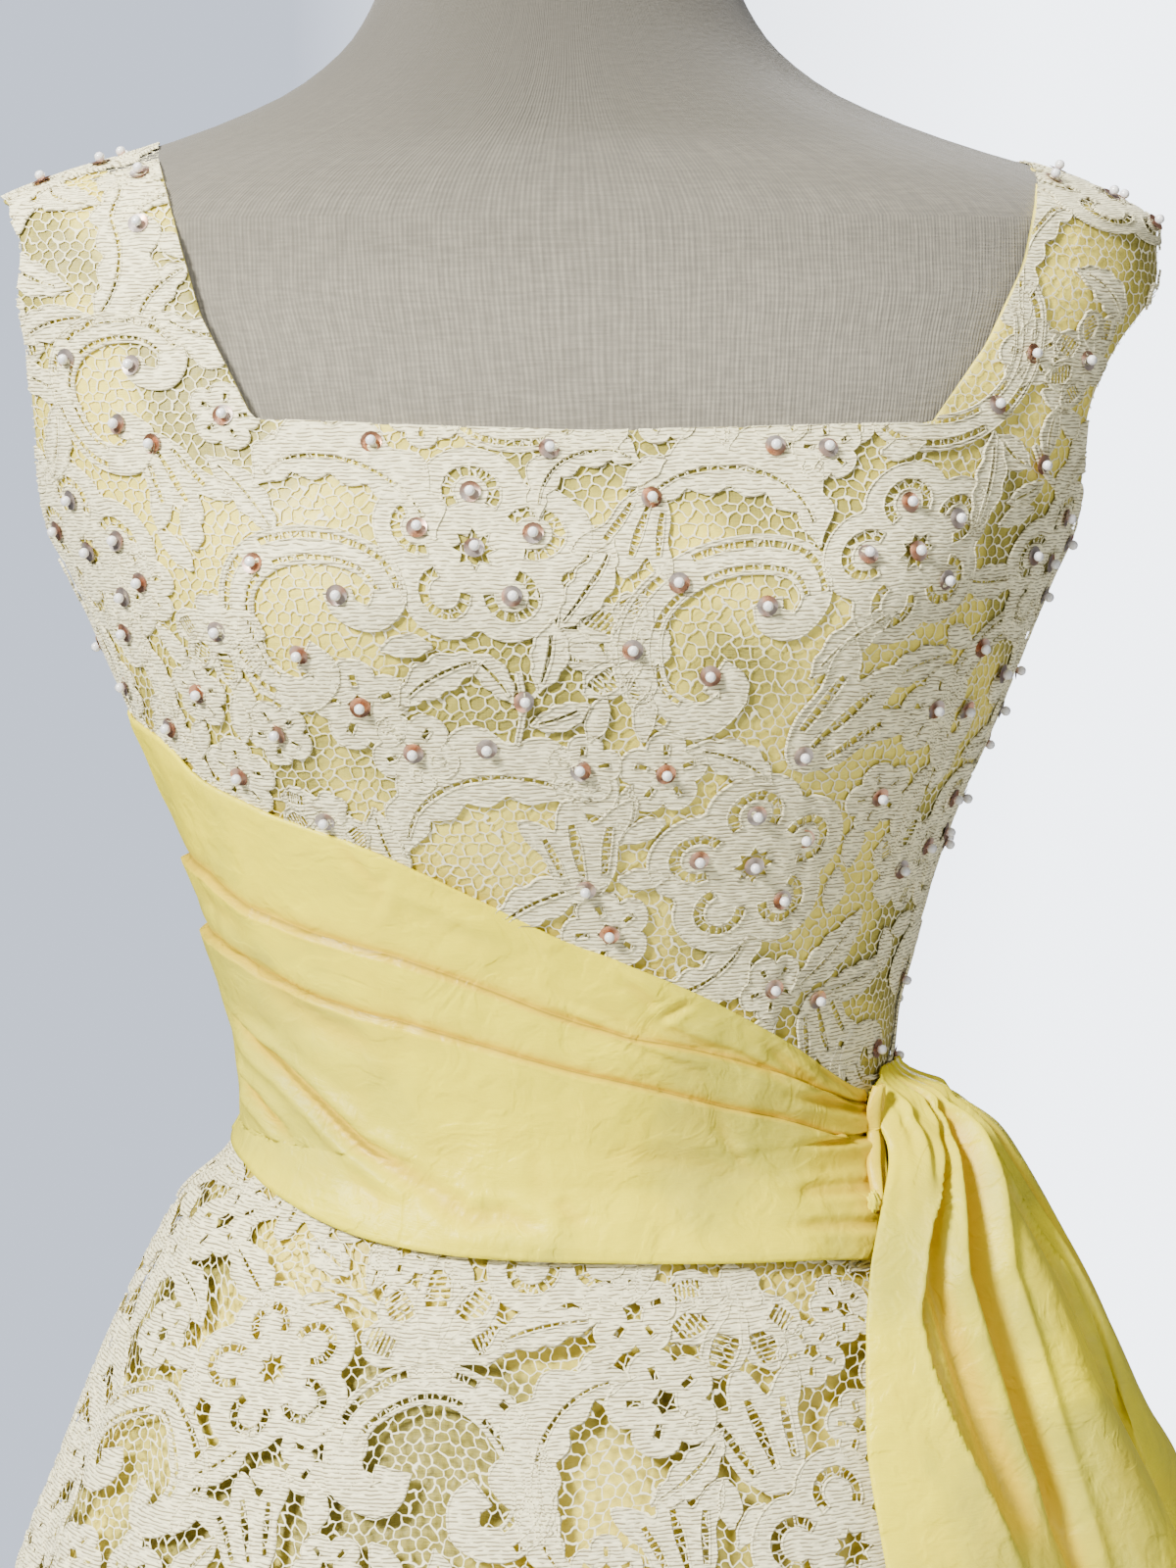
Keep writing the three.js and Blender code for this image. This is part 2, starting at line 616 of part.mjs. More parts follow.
const LOOKS = {
  laceOnSatin: { color: '#dfd6b4', roughness: 0.85 },
  satin: { color: '#e9d57f', roughness: 0.42 },
  lace: { color: '#d9d1b8', roughness: 0.9 },
  formCloth: { color: '#a59f93', roughness: 0.95 },
  paintedSteel: { color: '#3a3a3c', roughness: 0.45, metalness: 0.3 },
};

const group = new THREE.Group();

function add(name, geometry, look) {
  geometry.computeVertexNormals();
  const mesh = new THREE.Mesh(geometry, new THREE.MeshStandardMaterial(LOOKS[look]));
  mesh.name = name;
  group.add(mesh);
}

for (const [name, geometry] of Object.entries(bodicePanels())) add(name, geometry, 'laceOnSatin');

const sashRise = SASH_FRONT_END.top - SASH_FRONT_END.bottom;
const frontEnd = (share) => SASH_FRONT_END.bottom + sashRise * share;
const sideSeam = 180;
add('sash_front', sashPanel(() => sideSeam + SASH_SEAM_TURN, frontEnd), 'satin');
add('sash_back', sashPanel(() => SASH_BACK_START, () => sideSeam - SASH_SEAM_TURN), 'satin');
add('sash_tail', tailPanel(), 'satin');

add('skirt_satin_back', satin(0), 'satin');
add('skirt_satin_front', satin(180), 'satin');
add('skirt_lace_back', lace(0), 'lace');
add('skirt_lace_front', lace(180), 'lace');

add('form_torso', formTorso(), 'formCloth');
add('form_neck_cap', neckCap(), 'paintedSteel');
add('stand_pole', standPole(), 'paintedSteel');
add('stand_base', standBase(), 'paintedSteel');

export default group;
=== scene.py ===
"""The finished look of a lace evening gown on its dress form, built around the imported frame.

Cloth is shaped from the same sections as the gown's solid parts, in millimetres, with angles in
degrees: 0 is the right side, 90 the back, 180 the left side and 270 the front. The front faces -Y.
"""
import json
import math

import bpy
import numpy as np
from bpy.props import FloatProperty, FloatVectorProperty, PointerProperty
from mathutils import Matrix, Vector
from mathutils.geometry import delaunay_2d_cdt

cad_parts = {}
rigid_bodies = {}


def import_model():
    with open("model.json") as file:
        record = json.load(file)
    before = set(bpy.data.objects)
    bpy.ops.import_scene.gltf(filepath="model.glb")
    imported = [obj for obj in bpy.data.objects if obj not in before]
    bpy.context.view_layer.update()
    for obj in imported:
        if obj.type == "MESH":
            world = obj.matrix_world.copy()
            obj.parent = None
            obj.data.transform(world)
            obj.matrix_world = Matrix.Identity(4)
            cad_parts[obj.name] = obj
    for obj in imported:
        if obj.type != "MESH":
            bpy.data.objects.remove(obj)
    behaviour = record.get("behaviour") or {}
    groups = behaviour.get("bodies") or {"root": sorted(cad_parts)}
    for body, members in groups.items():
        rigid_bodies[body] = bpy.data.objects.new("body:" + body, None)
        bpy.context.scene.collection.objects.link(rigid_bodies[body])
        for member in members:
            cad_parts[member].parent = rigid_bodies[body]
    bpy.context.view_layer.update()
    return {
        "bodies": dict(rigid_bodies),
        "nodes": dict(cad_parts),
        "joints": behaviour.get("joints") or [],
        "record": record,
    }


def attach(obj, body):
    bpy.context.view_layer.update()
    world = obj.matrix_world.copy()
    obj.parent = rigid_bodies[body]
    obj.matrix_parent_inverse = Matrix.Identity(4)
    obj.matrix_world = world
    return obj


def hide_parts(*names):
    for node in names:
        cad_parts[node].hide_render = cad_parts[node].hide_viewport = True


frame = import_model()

bl_info = {
    "name": "Lace Gown on a Dress Form",
    "version": (1, 0, 0),
    "blender": (4, 5, 0),
    "location": "3D View > Sidebar > Gown",
    "description": "Builds the cloth, lace, beads, form and stand of a lace gown",
    "category": "Object",
}

MM = 0.001
BODY = "root"
WAIST_Z = 1030.0
SHOULDER_SEAM_Y = 6.0
SEAM = 0.3


# ------------------------------------------------------------------ tables of the cut

class Rows:
    """A short table with named columns, read as smooth curves over its first column."""

    def __init__(self, names, *rows):
        self.names = names.split()
        self.rows = np.array(sorted(rows), float)
        self.key = self.rows[:, 0]
        self.slopes = [self.tangents(self.rows[:, k]) for k in range(len(self.names))]

    def tangents(self, values):
        step = np.diff(self.key)
        slope = np.diff(values) / step
        out = np.empty_like(values)
        out[0], out[-1] = slope[0], slope[-1]
        for k in range(1, len(values) - 1):
            out[k] = 0.0
            if slope[k - 1] * slope[k] > 0:
                before, after = 2 * step[k] + step[k - 1], step[k] + 2 * step[k - 1]
                out[k] = (before + after) / (before / slope[k - 1] + after / slope[k])
        return out

    def __call__(self, name, at):
        column = self.names.index(name)
        at = np.clip(at, self.key[0], self.key[-1])
        i = np.clip(np.searchsorted(self.key, at, side="right") - 1, 0, len(self.key) - 2)
        span = self.key[i + 1] - self.key[i]
        t = (at - self.key[i]) / span
        values, slopes = self.rows[:, column], self.slopes[column]
        return ((2 * t**3 - 3 * t**2 + 1) * values[i] + (t**3 - 2 * t**2 + t) * span * slopes[i]
                + (3 * t**2 - 2 * t**3) * values[i + 1] + (t**3 - t**2) * span * slopes[i + 1])


FIGURE = Rows(
    "z half front back square",
    (1015, 116, 88, 89, 2.2), (1030, 114, 87, 88, 2.2), (1064, 116, 89, 89, 2.2),
    (1092, 123, 93, 93, 2.2), (1120, 130, 101, 98, 2.25), (1140, 137, 108, 102, 2.3),
    (1162, 147, 115, 106, 2.3), (1190, 159, 121, 110, 2.3), (1216, 170, 123, 113, 2.3),
    (1246, 184, 117, 115, 2.3), (1275, 195, 108, 114, 2.3), (1300, 204, 97, 110, 2.3),
    (1322, 212, 87, 103, 2.3), (1342, 212, 76, 95, 2.3), (1352, 199, 70, 89, 2.3),
    (1360, 181, 66, 84, 2.3), (1368, 154, 61, 79, 2.3), (1378, 124, 58, 74, 2.25),
    (1392, 94, 54, 69, 2.2), (1410, 74, 49, 63, 2.15), (1430, 64, 45, 59, 2.1),
    (1455, 58, 42, 57, 2.05), (1480, 56, 41, 56, 2.0),
)
SKIRT = Rows(
    "z half front back square",
    (25, 372, 354, 365, 2.0), (150, 351, 331, 343, 2.0), (300, 324, 298, 312, 2.0),
    (480, 288, 255, 271, 2.0), (640, 251, 210, 229, 2.0), (760, 221, 174, 196, 2.0),
    (840, 199, 148, 171, 2.0), (882, 186, 134, 156, 2.0), (910, 175, 124, 144, 2.05),
    (938, 164, 114, 131, 2.1), (966, 152, 104, 118, 2.15), (994, 138, 96, 106, 2.2),
    (1008, 130, 91, 98, 2.2), (1022, 120, 87, 91, 2.2), (1030, 114, 87, 88, 2.2),
)
HIPS = Rows("z half front back square", (820, 163, 98, 112, 2.2), (850, 166, 99, 115, 2.2),
            (900, 157, 95, 113, 2.2), (950, 138, 88, 103, 2.2), (990, 120, 83, 92, 2.2),
            (1015, 111.6, 83.5, 86, 2.2), (1100, 111.6, 83.5, 86, 2.2))
FORM_WALL = 2.0
FORM_CLEARANCE = {"body": 3.2, "shoulders": 0.4, "from": 1322.0, "to": 1346.0}
FORM_BOTTOM_Z, NECK_TOP_Z, ARM_PLATE_X = 820.0, 1480.0, 168.0
CAP = {"height": 9.0, "inset": 1.5, "round": 3.5, "smooth": 35.0}
BUST = {"x": 88.0, "z": 1214.0, "depth": 9.0, "width": 38.0, "height": 34.0}

# Crests of the skirt's folds: angle, half width in degrees, depth at the hem, starting height.
SKIRT_FOLDS = (
    (9, 11, 20, 1000), (31, 12, 26, 960), (54, 11, 19, 985), (74, 10, 23, 1000),
    (97, 12, 24, 990), (118, 10, 18, 950), (138, 11, 24, 995), (161, 11, 20, 1005),
    (182, 10, 23, 1010), (202, 9, 22, 1015), (219, 9, 24, 1012), (239, 12, 23, 980),
    (264, 12, 16, 900), (289, 12, 19, 920), (313, 11, 24, 985), (335, 11, 20, 1000),
    (352, 8, 18, 1000),
)
FOLD_GROWTH = 0.8
SATIN_HEM_Z, LACE_HEM_Z = 29.0, 25.0
LACE_STAND_OFF = {"below": 5.0, "at_waist": 0.5, "free": 6.3, "run": 20.0}

FRONT_NECK = ((-139, 1366), (-132, 1337), (-125, 1311), (-108, 1276), (0, 1271), (114, 1273),
              (136, 1300), (151, 1327), (161, 1358), (161, 1400), (-139, 1400))
BACK_NECK = ((-139, 1366), (-128, 1330), (-112, 1282), (-70, 1262), (0, 1256), (74, 1262),
             (118, 1282), (146, 1330), (161, 1358), (161, 1400), (-139, 1400))
LEFT_ARMHOLE = ((2, 1214), (-27, 1238), (-46, 1274), (-50, 1313), (-38, 1346), (2, 1355),
                (45, 1346), (56, 1308), (51, 1268), (32, 1236))
RIGHT_ARMHOLE = ((2, 1212), (-32, 1233), (-53, 1260), (-54, 1283), (-33, 1313), (2, 1340),
                 (38, 1322), (54, 1292), (52, 1262), (34, 1234))

# Creases on the sash are placed by degrees round the body; this is one degree's length there.
MM_PER_DEGREE = 2.25
# The sash's edges by the angle round from the left side seam.
SASH = Rows(
    "around top bottom",
    (0, 1178, 1024), (20, 1172, 1020), (32, 1157, 1015), (45, 1147, 1009), (60, 1137, 1002),
    (75, 1120, 998), (90, 1101, 996), (105, 1085, 994), (120, 1069, 992), (145, 1045, 985),
    (180, 1038, 980),
)
SASH_OFFSET = {"top": 0.9, "bottom": 3.7, "over_lace": 2.6, "blend": 20.0}
# Where the front's right end lies: share of its width, angle.
SASH_FRONT_END = ((0, 309), (0.112, 313), (0.289, 319.6), (0.474, 324), (0.69, 326), (1, 325.7))
SASH_BACK_START = 2.0
# Half the angle of the seam under the left arm.
SASH_SEAM = 0.07
TAIL = Rows(
    "z front back edge middle folds",
    (330, 303, 405, 12, 33, 15), (520, 302, 404, 11.5, 32, 14), (700, 300.5, 402, 11, 31, 13),
    (840, 299, 399, 10.5, 30, 11), (894, 298.4, 396, 10, 29, 10), (925, 298.6, 392, 10, 28.5, 9),
    (955, 300.8, 387, 10, 29, 8), (985, 305.6, 380, 9.5, 27.5, 6.5), (1005, 313.0, 372, 8.5, 27, 5),
    (1025, 323.6, 361, 7.5, 24, 4), (1038, 326.6, 357, 6, 18.5, 2.5),
    (1052, 328.6, 352, 3.6, 8.5, 1.0),
)
# The tail's head rises from its front edge to its highest point: heights, and the share between.
TAIL_HEAD = {"from": 1020.0, "front": 1043.0, "top": 1051.0, "share": 0.22}
# How thick the cloth of the tail and its tuck is.
TAIL_WALL, TUCK_WALL = 1.0, 0.8
# The tuck at the tail's head: heights, and the angles of its two sides.
TUCK = ((1004, 313.0, 315.4), (1018, 317.1, 322.6), (1029, 322.6, 326.8), (1040, 323.0, 328.8),
        (1047, 324.8, 328.2))
KNOT = {"angle": 312.2, "z": 1006.5, "out": 10.0, "radius": 2.0, "tall": 1.7}
# Folds across the tail: place and half width as shares of its width, height as a share.
TAIL_FOLDS = ((0.10, 0.16, 0.35), (0.37, 0.09, 0.8), (0.56, 0.10, 1.0), (0.76, 0.10, 0.9),
              (0.93, 0.08, 0.5))

# Heights down the tail and the share of its width where each crease runs; kind, depth and width.
TAIL_CREASES = (
    ("fold", 3.4, 0.018, ((1040, 0.30), (1020, 0.25), (1007, 0.185), (995, 0.12), (971, 0.088),
                          (954, 0.098), (939, 0.115), (923, 0.13), (905, 0.14), (880, 0.15))),
    ("valley", 4.5, 0.020, ((1030, 0.30), (1005, 0.195), (993, 0.155), (977, 0.135), (955, 0.148),
                            (930, 0.165), (890, 0.175))),
    ("ridge", 2.5, 0.018, ((1035, 0.34), (1003, 0.235), (978, 0.182), (957, 0.187), (930, 0.198),
                           (890, 0.205))),
    ("valley", 6.5, 0.030, ((1035, 0.37), (1011, 0.325), (997, 0.285), (976, 0.25), (954, 0.243),
                            (933, 0.245), (911, 0.245), (885, 0.24))),
    ("ridge", 3.0, 0.020, ((1035, 0.42), (1010, 0.37), (991, 0.33), (975, 0.305), (953, 0.30),
                           (927, 0.295), (900, 0.29), (860, 0.28))),
    ("fold", -2.8, 0.018, ((1038, 0.50), (1010, 0.45), (997, 0.41), (987, 0.425), (969, 0.465),
                           (951, 0.47), (933, 0.475), (916, 0.48), (880, 0.49))),
    ("valley", 2.2, 0.020, ((1035, 0.56), (1005, 0.54), (975, 0.56), (940, 0.565), (890, 0.56))),
    ("ridge", 1.6, 0.020, ((1020, 0.62), (985, 0.62), (940, 0.63), (880, 0.62), (800, 0.60))),
    ("valley", 3.4, 0.030, ((1036, 0.70), (1000, 0.70), (950, 0.72), (880, 0.71), (780, 0.69))),
    ("fold", 2.6, 0.022, ((1036, 0.80), (1000, 0.80), (950, 0.82), (880, 0.85), (760, 0.87))),
    ("valley", 3.0, 0.024, ((1034, 0.90), (1000, 0.91), (940, 0.93), (850, 0.94))),
    ("valley", 3.2, 0.030, ((900, 0.24), (820, 0.25), (700, 0.25), (560, 0.26), (330, 0.26))),
    ("ridge", 2.0, 0.020, ((860, 0.31), (760, 0.33), (620, 0.335), (450, 0.33))),
    ("valley", 2.6, 0.026, ((850, 0.46), (740, 0.465), (600, 0.46), (420, 0.455), (330, 0.455))),
    ("valley", 2.8, 0.028, ((800, 0.66), (680, 0.66), (520, 0.665), (330, 0.665))),
    ("ridge", 1.5, 0.018, ((700, 0.84), (560, 0.85), (400, 0.85))),
)

# Lines where the sash's pleats fold under: the share of its width by the angle round.
PLEAT_LINES = (
    ((0, 0.50), (29, 0.536), (55, 0.556), (89, 0.60), (110, 0.61), (145, 0.70), (180, 0.74)),
    ((0, 0.67), (26, 0.69), (73, 0.745), (94, 0.757), (114, 0.82), (142, 0.91), (180, 0.94)),
)
PLEAT_STEPS = (2.6, 2.4)
# Creases of the sash: depth, half width, and points by the angle round and the height.
SASH_FRONT_CREASES = (
    (4.2, 3.0, ((6, 1074), (18, 1068), (31, 1059), (41, 1048), (52, 1033), (62, 1024), (71, 1016))),
    (3.6, 2.6, ((8, 1052), (23, 1043), (33, 1033))), (1.4, 6.0, ((28, 1093), (46, 1075), (60, 1068))),
    (-0.8, 1.6, ((82, 1089), (94, 1073), (101, 1066), (110, 1058))), (0.9, 1.6, ((93, 1092), (99, 1080))),
    (0.9, 1.6, ((98, 1076), (104, 1084))), (1.6, 3.2, ((66, 1018), (73, 1011), (79, 1009))),
    (1.3, 2.6, ((76, 1014), (84, 1006))), (1.1, 2.6, ((85, 1017), (89, 1007))),
    (0.9, 2.2, ((55, 1140), (60, 1126), (58, 1119))), (0.7, 2.0, ((59, 1114), (63, 1131))),
    (0.8, 1.9, ((108, 1044), (114, 1022))), (0.5, 2.6, ((81, 1037), (84, 1011))),
    (1.0, 1.8, ((117, 1067), (133, 1044))), (0.9, 1.7, ((108, 1068), (124, 1051))),
    (0.9, 4.0, ((49, 1028), (61, 1009))), (1.8, 1.9, ((122, 1049), (148, 1036))),
    (1.6, 1.8, ((124, 1031), (148, 1026))), (1.4, 2.0, ((119, 1014), (142, 1011))),
    (1.2, 1.8, ((116, 1004), (138, 999))), (-0.6, 3.0, ((62, 1125), (80, 1106))),
    (0.8, 1.6, ((96, 1078), (118, 1056))), (0.7, 5.0, ((10, 1120), (34, 1104))),
    (0.9, 1.5, ((128, 1058), (146, 1040))), (0.6, 4.0, ((88, 1034), (104, 1028), (118, 1020))),
)
SASH_BACK_CREASES = (
    (3.2, 3.0, ((8, 1076), (26, 1064), (44, 1046), (60, 1030), (74, 1018))),
    (1.6, 5.0, ((20, 1104), (44, 1090), (66, 1072))), (1.2, 2.4, ((50, 1122), (62, 1104))),
    (1.0, 1.8, ((88, 1086), (104, 1066))), (1.5, 3.0, ((84, 1016), (98, 1006))),
    (0.9, 2.0, ((104, 1048), (122, 1028))), (1.3, 1.8, ((130, 1044), (160, 1028))),
    (1.2, 1.8, ((134, 1022), (168, 1014))), (1.0, 2.0, ((128, 1004), (166, 998))),
    (0.8, 4.0, ((58, 1034), (76, 1022))), (1.1, 1.6, ((142, 1052), (170, 1038))),
)


# How far the sash's edge shades the satin beside it.
SASH_SHADE = 7.0


# ------------------------------------------------------------------ surfaces

def smooth(t):
    t = np.clip(t, 0.0, 1.0)
    return t * t * (3 - 2 * t)


def section(rows, angle, z):
    """A point of a table's section at an angle and a height."""
    turn = np.radians(angle)
    c, s = np.cos(turn), np.sin(turn)
    power = 2 / rows("square", z)
    depth = np.where(s < 0, -rows("front", z), rows("back", z))
    x = np.sign(c) * rows("half", z) * np.abs(c) ** power
    return np.stack([x, depth * np.abs(s) ** power, z + 0 * x], -1)


def bodice_form(angle, z):
    p = section(FIGURE, angle, z)
    rise = ((z - BUST["z"]) / BUST["height"]) ** 2
    peaks = sum(np.exp(-((p[..., 0] - side * BUST["x"]) / BUST["width"]) ** 2 - rise)
                for side in (-1, 1))
    p[..., 1] -= BUST["depth"] * np.clip(-2 * np.sin(np.radians(angle)), 0, 1) * peaks
    return p


def skirt_form(angle, z):
    p = section(SKIRT, angle, z)
    proud = 0.0
    for at, width, depth, start in SKIRT_FOLDS:
        away = np.abs((angle - at + 540) % 360 - 180) / width
        drop = np.clip((start - z) / (start - LACE_HEM_Z), 0, None)
        proud = proud + np.where(away < 1, depth * drop**FOLD_GROWTH
                                 * np.cos(np.minimum(away, 1) * np.pi / 2) ** 2, 0)
    reach = np.hypot(p[..., 0], p[..., 1])
    p[..., :2] *= (1 + proud / reach)[..., None]
    return p


def gown_form(angle, z):
    """The outer face of the gown's main cloth, bodice and skirt in one."""
    return np.where((z > WAIST_Z)[..., None], bodice_form(angle, z), skirt_form(angle, z))


def moved(form, angle, z, out, reach=1.0):
    """A form's points moved out along their own normals, which are taken over a reach of its height."""
    angle, z = np.broadcast_arrays(np.asarray(angle, float), np.asarray(z, float))
    across = form(angle + 0.4, z) - form(angle - 0.4, z)
    up = form(angle, z + reach) - form(angle, z - reach)
    normal = np.cross(across, up)
    normal /= np.linalg.norm(normal, axis=-1, keepdims=True)
    return form(angle, z) + normal * np.broadcast_to(out, angle.shape)[..., None]


def around(angle):
    """The angle round from the left side seam."""
    return np.abs(np.mod(angle, 360) - 180)


def form_clearance(z):
    """How far the form lies inside the bodice's cloth."""
    near = smooth((z - FORM_CLEARANCE["from"]) / (FORM_CLEARANCE["to"] - FORM_CLEARANCE["from"]))
    return FORM_CLEARANCE["body"] + (FORM_CLEARANCE["shoulders"] - FORM_CLEARANCE["body"]) * near


def lace_stand_off(angle, z):
    bottom = SASH("bottom", around(angle)) - LACE_STAND_OFF["below"]
    free = smooth((bottom - z) / LACE_STAND_OFF["run"])
    return LACE_STAND_OFF["at_waist"] + (LACE_STAND_OFF["free"] - LACE_STAND_OFF["at_waist"]) * free


def tail_stand_off(share, z):
    edge, middle, depth = TAIL("edge", z), TAIL("middle", z), TAIL("folds", z)
    share = np.clip(share, 0, 1)
    out = edge + (middle - edge) * np.sin(np.pi * share) ** 0.8
    out = out - depth * 0.6 * np.sin(np.pi * np.minimum(share, 1 - share))
    for at, width, height in TAIL_FOLDS:
        away = np.minimum(np.abs(share - at) / width, 1)
        out = out + depth * height * np.cos(away * np.pi / 2) ** 2
    return out


def outline_distance(points, outline):
    """Distance of 2-D points from a closed outline, negative inside it."""
    outline = np.asarray(outline, float)
    nearest = np.full(points.shape[:-1], np.inf)
    inside = np.zeros(points.shape[:-1], bool)
    for a, b in zip(outline, np.roll(outline, -1, axis=0)):
        edge, rel = b - a, points - a
        t = np.clip(rel @ edge / (edge @ edge), 0, 1)
        nearest = np.minimum(nearest, np.linalg.norm(rel - t[..., None] * edge, axis=-1))
        crosses = (a[1] > points[..., 1]) != (b[1] > points[..., 1])
        rise = np.where(b[1] == a[1], 1e-9, b[1] - a[1])
        at = a[0] + (points[..., 1] - a[1]) / rise * edge[0]
        inside ^= crosses & (points[..., 0] < at)
    return np.where(inside, -nearest, nearest)


def rounded_loop(corners, steps=6):
    """A closed smooth curve through its corners."""
    p = np.asarray(corners, float)
    out = []
    for k in range(len(p)):
        p0, p1, p2, p3 = (p[(k + j) % len(p)] for j in (-1, 0, 1, 2))
        for t in np.arange(steps) / steps:
            out.append(0.5 * (2 * p1 + (p2 - p0) * t + (2 * p0 - 5 * p1 + 4 * p2 - p3) * t**2
                              + (3 * p1 - p0 - 3 * p2 + p3) * t**3))
    return np.array(out)


ARMHOLES = {-1: rounded_loop(LEFT_ARMHOLE), 1: rounded_loop(RIGHT_ARMHOLE)}


def bodice_limits(panel):
    """What a bodice panel keeps: functions of angle and z, positive on the cloth."""
    def neck(outline):
        return lambda a, z: outline_distance(bodice_form(a, z)[..., [0, 2]], outline)

    def armhole(side):
        def keep(a, z):
            p = bodice_form(a, z)
            return np.where(p[..., 0] * side > 90, outline_distance(p[..., 1:], ARMHOLES[side]), 50)
        return keep

    def beyond(axis, sign, at):
        return lambda a, z: sign * (bodice_form(a, z)[..., axis] - at)

    limits = [armhole(-1), armhole(1)]
    if panel == "front":
        limits += [neck(FRONT_NECK), beyond(1, -1, SHOULDER_SEAM_Y - SEAM / 2)]
    else:
        side = -1 if panel == "back_left" else 1
        limits += [neck(BACK_NECK), beyond(1, 1, SHOULDER_SEAM_Y + SEAM / 2),
                   beyond(0, side, side * SEAM / 2)]
    return limits


# ------------------------------------------------------------------ meshes

def clip(rows, faces, keep):
    """Cuts triangles along the line where keep is zero, and drops the side below it."""
    inside = keep > 0
    count = inside[faces].sum(1)
    whole = faces[count == 3]

    def turned(part, wanted):
        first = np.argmax(inside[part] == wanted, axis=1)
        return np.stack([part[np.arange(len(part)), (first + k) % 3] for k in range(3)], 1)

    one, two = turned(faces[count == 1], True), turned(faces[count == 2], False)
    pairs = np.concatenate([one[:, [0, 1]], one[:, [0, 2]], two[:, [0, 1]], two[:, [0, 2]]])
    if len(pairs) == 0:
        return rows, whole
    pairs = np.sort(pairs, axis=1)
    edges, where = np.unique(pairs, axis=0, return_inverse=True)
    where = where.reshape(-1) + len(rows)
    a, b = edges[:, 0], edges[:, 1]
    t = (keep[a] / (keep[a] - keep[b]))[:, None]
    rows = np.concatenate([rows, rows[a] + (rows[b] - rows[a]) * t])
    n1, n2 = len(one), len(two)
    a1, a2, b1, b2 = np.split(where, [n1, 2 * n1, 2 * n1 + n2])
    faces = np.concatenate([whole, np.stack([one[:, 0], a1, a2], 1),
                            np.stack([two[:, 1], two[:, 2], b1], 1), np.stack([two[:, 2], b2, b1], 1)])
    used = np.unique(faces)
    index = np.zeros(len(rows), int)
    index[used] = np.arange(len(used))
    return rows[used], index[faces]


def grid_faces(columns, rows):
    """Triangles of a grid whose points run down each column in turn."""
    i, j = np.meshgrid(np.arange(columns - 1), np.arange(rows - 1), indexing="ij")
    a, b = i * rows + j, (i + 1) * rows + j
    quads = np.stack([a, b, b + 1, a + 1], -1).reshape(-1, 4)
    return np.concatenate([quads[:, [0, 1, 2]], quads[:, [0, 2, 3]]])


def piece(name, points, faces, uv=None, materials=(), valley=None):
    """A mesh object from points in millimetres, with its UV in metres and, as 'valley', how much painted
    shade its satin gets in valleys and beside the sash.
    """
    mesh = bpy.data.meshes.new(name)
    mesh.vertices.add(len(points))
    mesh.vertices.foreach_set("co", (np.asarray(points) * MM).astype(np.float32).ravel())
    faces = np.asarray(faces)
    size = faces.shape[1]
    mesh.loops.add(faces.size)
    mesh.loops.foreach_set("vertex_index", faces.astype(np.int32).ravel())
    mesh.polygons.add(len(faces))
    mesh.polygons.foreach_set("loop_start", np.arange(0, faces.size, size, dtype=np.int32))
    mesh.polygons.foreach_set("use_smooth", np.ones(len(faces), bool))
    if uv is not None:
        layer = mesh.uv_layers.new(name="cloth")
        layer.data.foreach_set("uv", (np.asarray(uv)[faces.ravel()] * MM).astype(np.float32).ravel())
    if valley is not None:
        depths = mesh.attributes.new("valley", "FLOAT", "POINT").data
        depths.foreach_set("value", valley.astype(np.float32).ravel())
    mesh.update(calc_edges=True)
    mesh.validate()
    obj = bpy.data.objects.new(name, mesh)
    bpy.context.scene.collection.objects.link(obj)
    for material in materials:
        mesh.materials.append(material)
    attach(obj, BODY)
    return obj


def apply_modifier(obj, kind, **settings):
    modifier = obj.modifiers.new(kind.lower(), kind)
    for key, value in settings.items():
        setattr(modifier, key, value)
    select_only(obj)
    bpy.ops.object.modifier_apply(modifier=modifier.name)
    obj.select_set(False)


def thicken(obj, thickness):
    """Gives a sheet its wall, inwards from the modelled face."""
    apply_modifier(obj, "SOLIDIFY", thickness=thickness * MM, offset=-1, use_quality_normals=True)


def arc_lengths(points):
    """Lengths across and down a grid of points, measured from its first column and row."""
    across = np.linalg.norm(np.diff(points, axis=0), axis=-1)
    down = np.linalg.norm(np.diff(points, axis=1), axis=-1)
    u = np.concatenate([np.zeros((1, points.shape[1])), np.cumsum(across, 0)])
    v = np.concatenate([np.zeros((points.shape[0], 1)), np.cumsum(down, 1)], axis=1)
    return u, v


def cloth_grid(name, points, valley):
    """A sheet of the sash's satin from a grid of points."""
    flat = np.stack(arc_lengths(points), -1).reshape(-1, 2)
    return piece(name, points.reshape(-1, 3), grid_faces(*points.shape[:2]), flat,
                 [finish_for("gown_satin")], valley)


def select_none():
    for other in bpy.context.selected_objects:
        other.select_set(False)


def select_only(obj):
    select_none()
    bpy.context.view_layer.objects.active = obj
    obj.select_set(True)


# ------------------------------------------------------------------ finishes

class Value:
    """A shader value in a sum; each operator on it adds a Math node."""

    def __init__(self, finish, socket):
        self.finish, self.socket = finish, socket

    def math(self, operation, *others):
        return self.finish.node("Math", {"operation": operation}, dict(enumerate((self, *others))))

    def reflected(self, operation, other):
        return self.finish.node("Math", {"operation": operation}, {0: other, 1: self})

    def __add__(self, other):
        return self.math("ADD", other)

    __radd__ = __add__

    def __mul__(self, other):
        return self.math("MULTIPLY", other)

    __rmul__ = __mul__

    def __sub__(self, other):
        return self.math("SUBTRACT", other)

    def __rsub__(self, other):
        return self.reflected("SUBTRACT", other)

    def __truediv__(self, other):
        return self.math("DIVIDE", other)

    def ramp(self, low, high, to_low=0.0, to_high=1.0):
        """A soft step from one level to another."""
        return self.finish.node("MapRange", {"interpolation_type": "SMOOTHSTEP"},
                                {0: self, 1: low, 2: high, 3: to_low, 4: to_high})


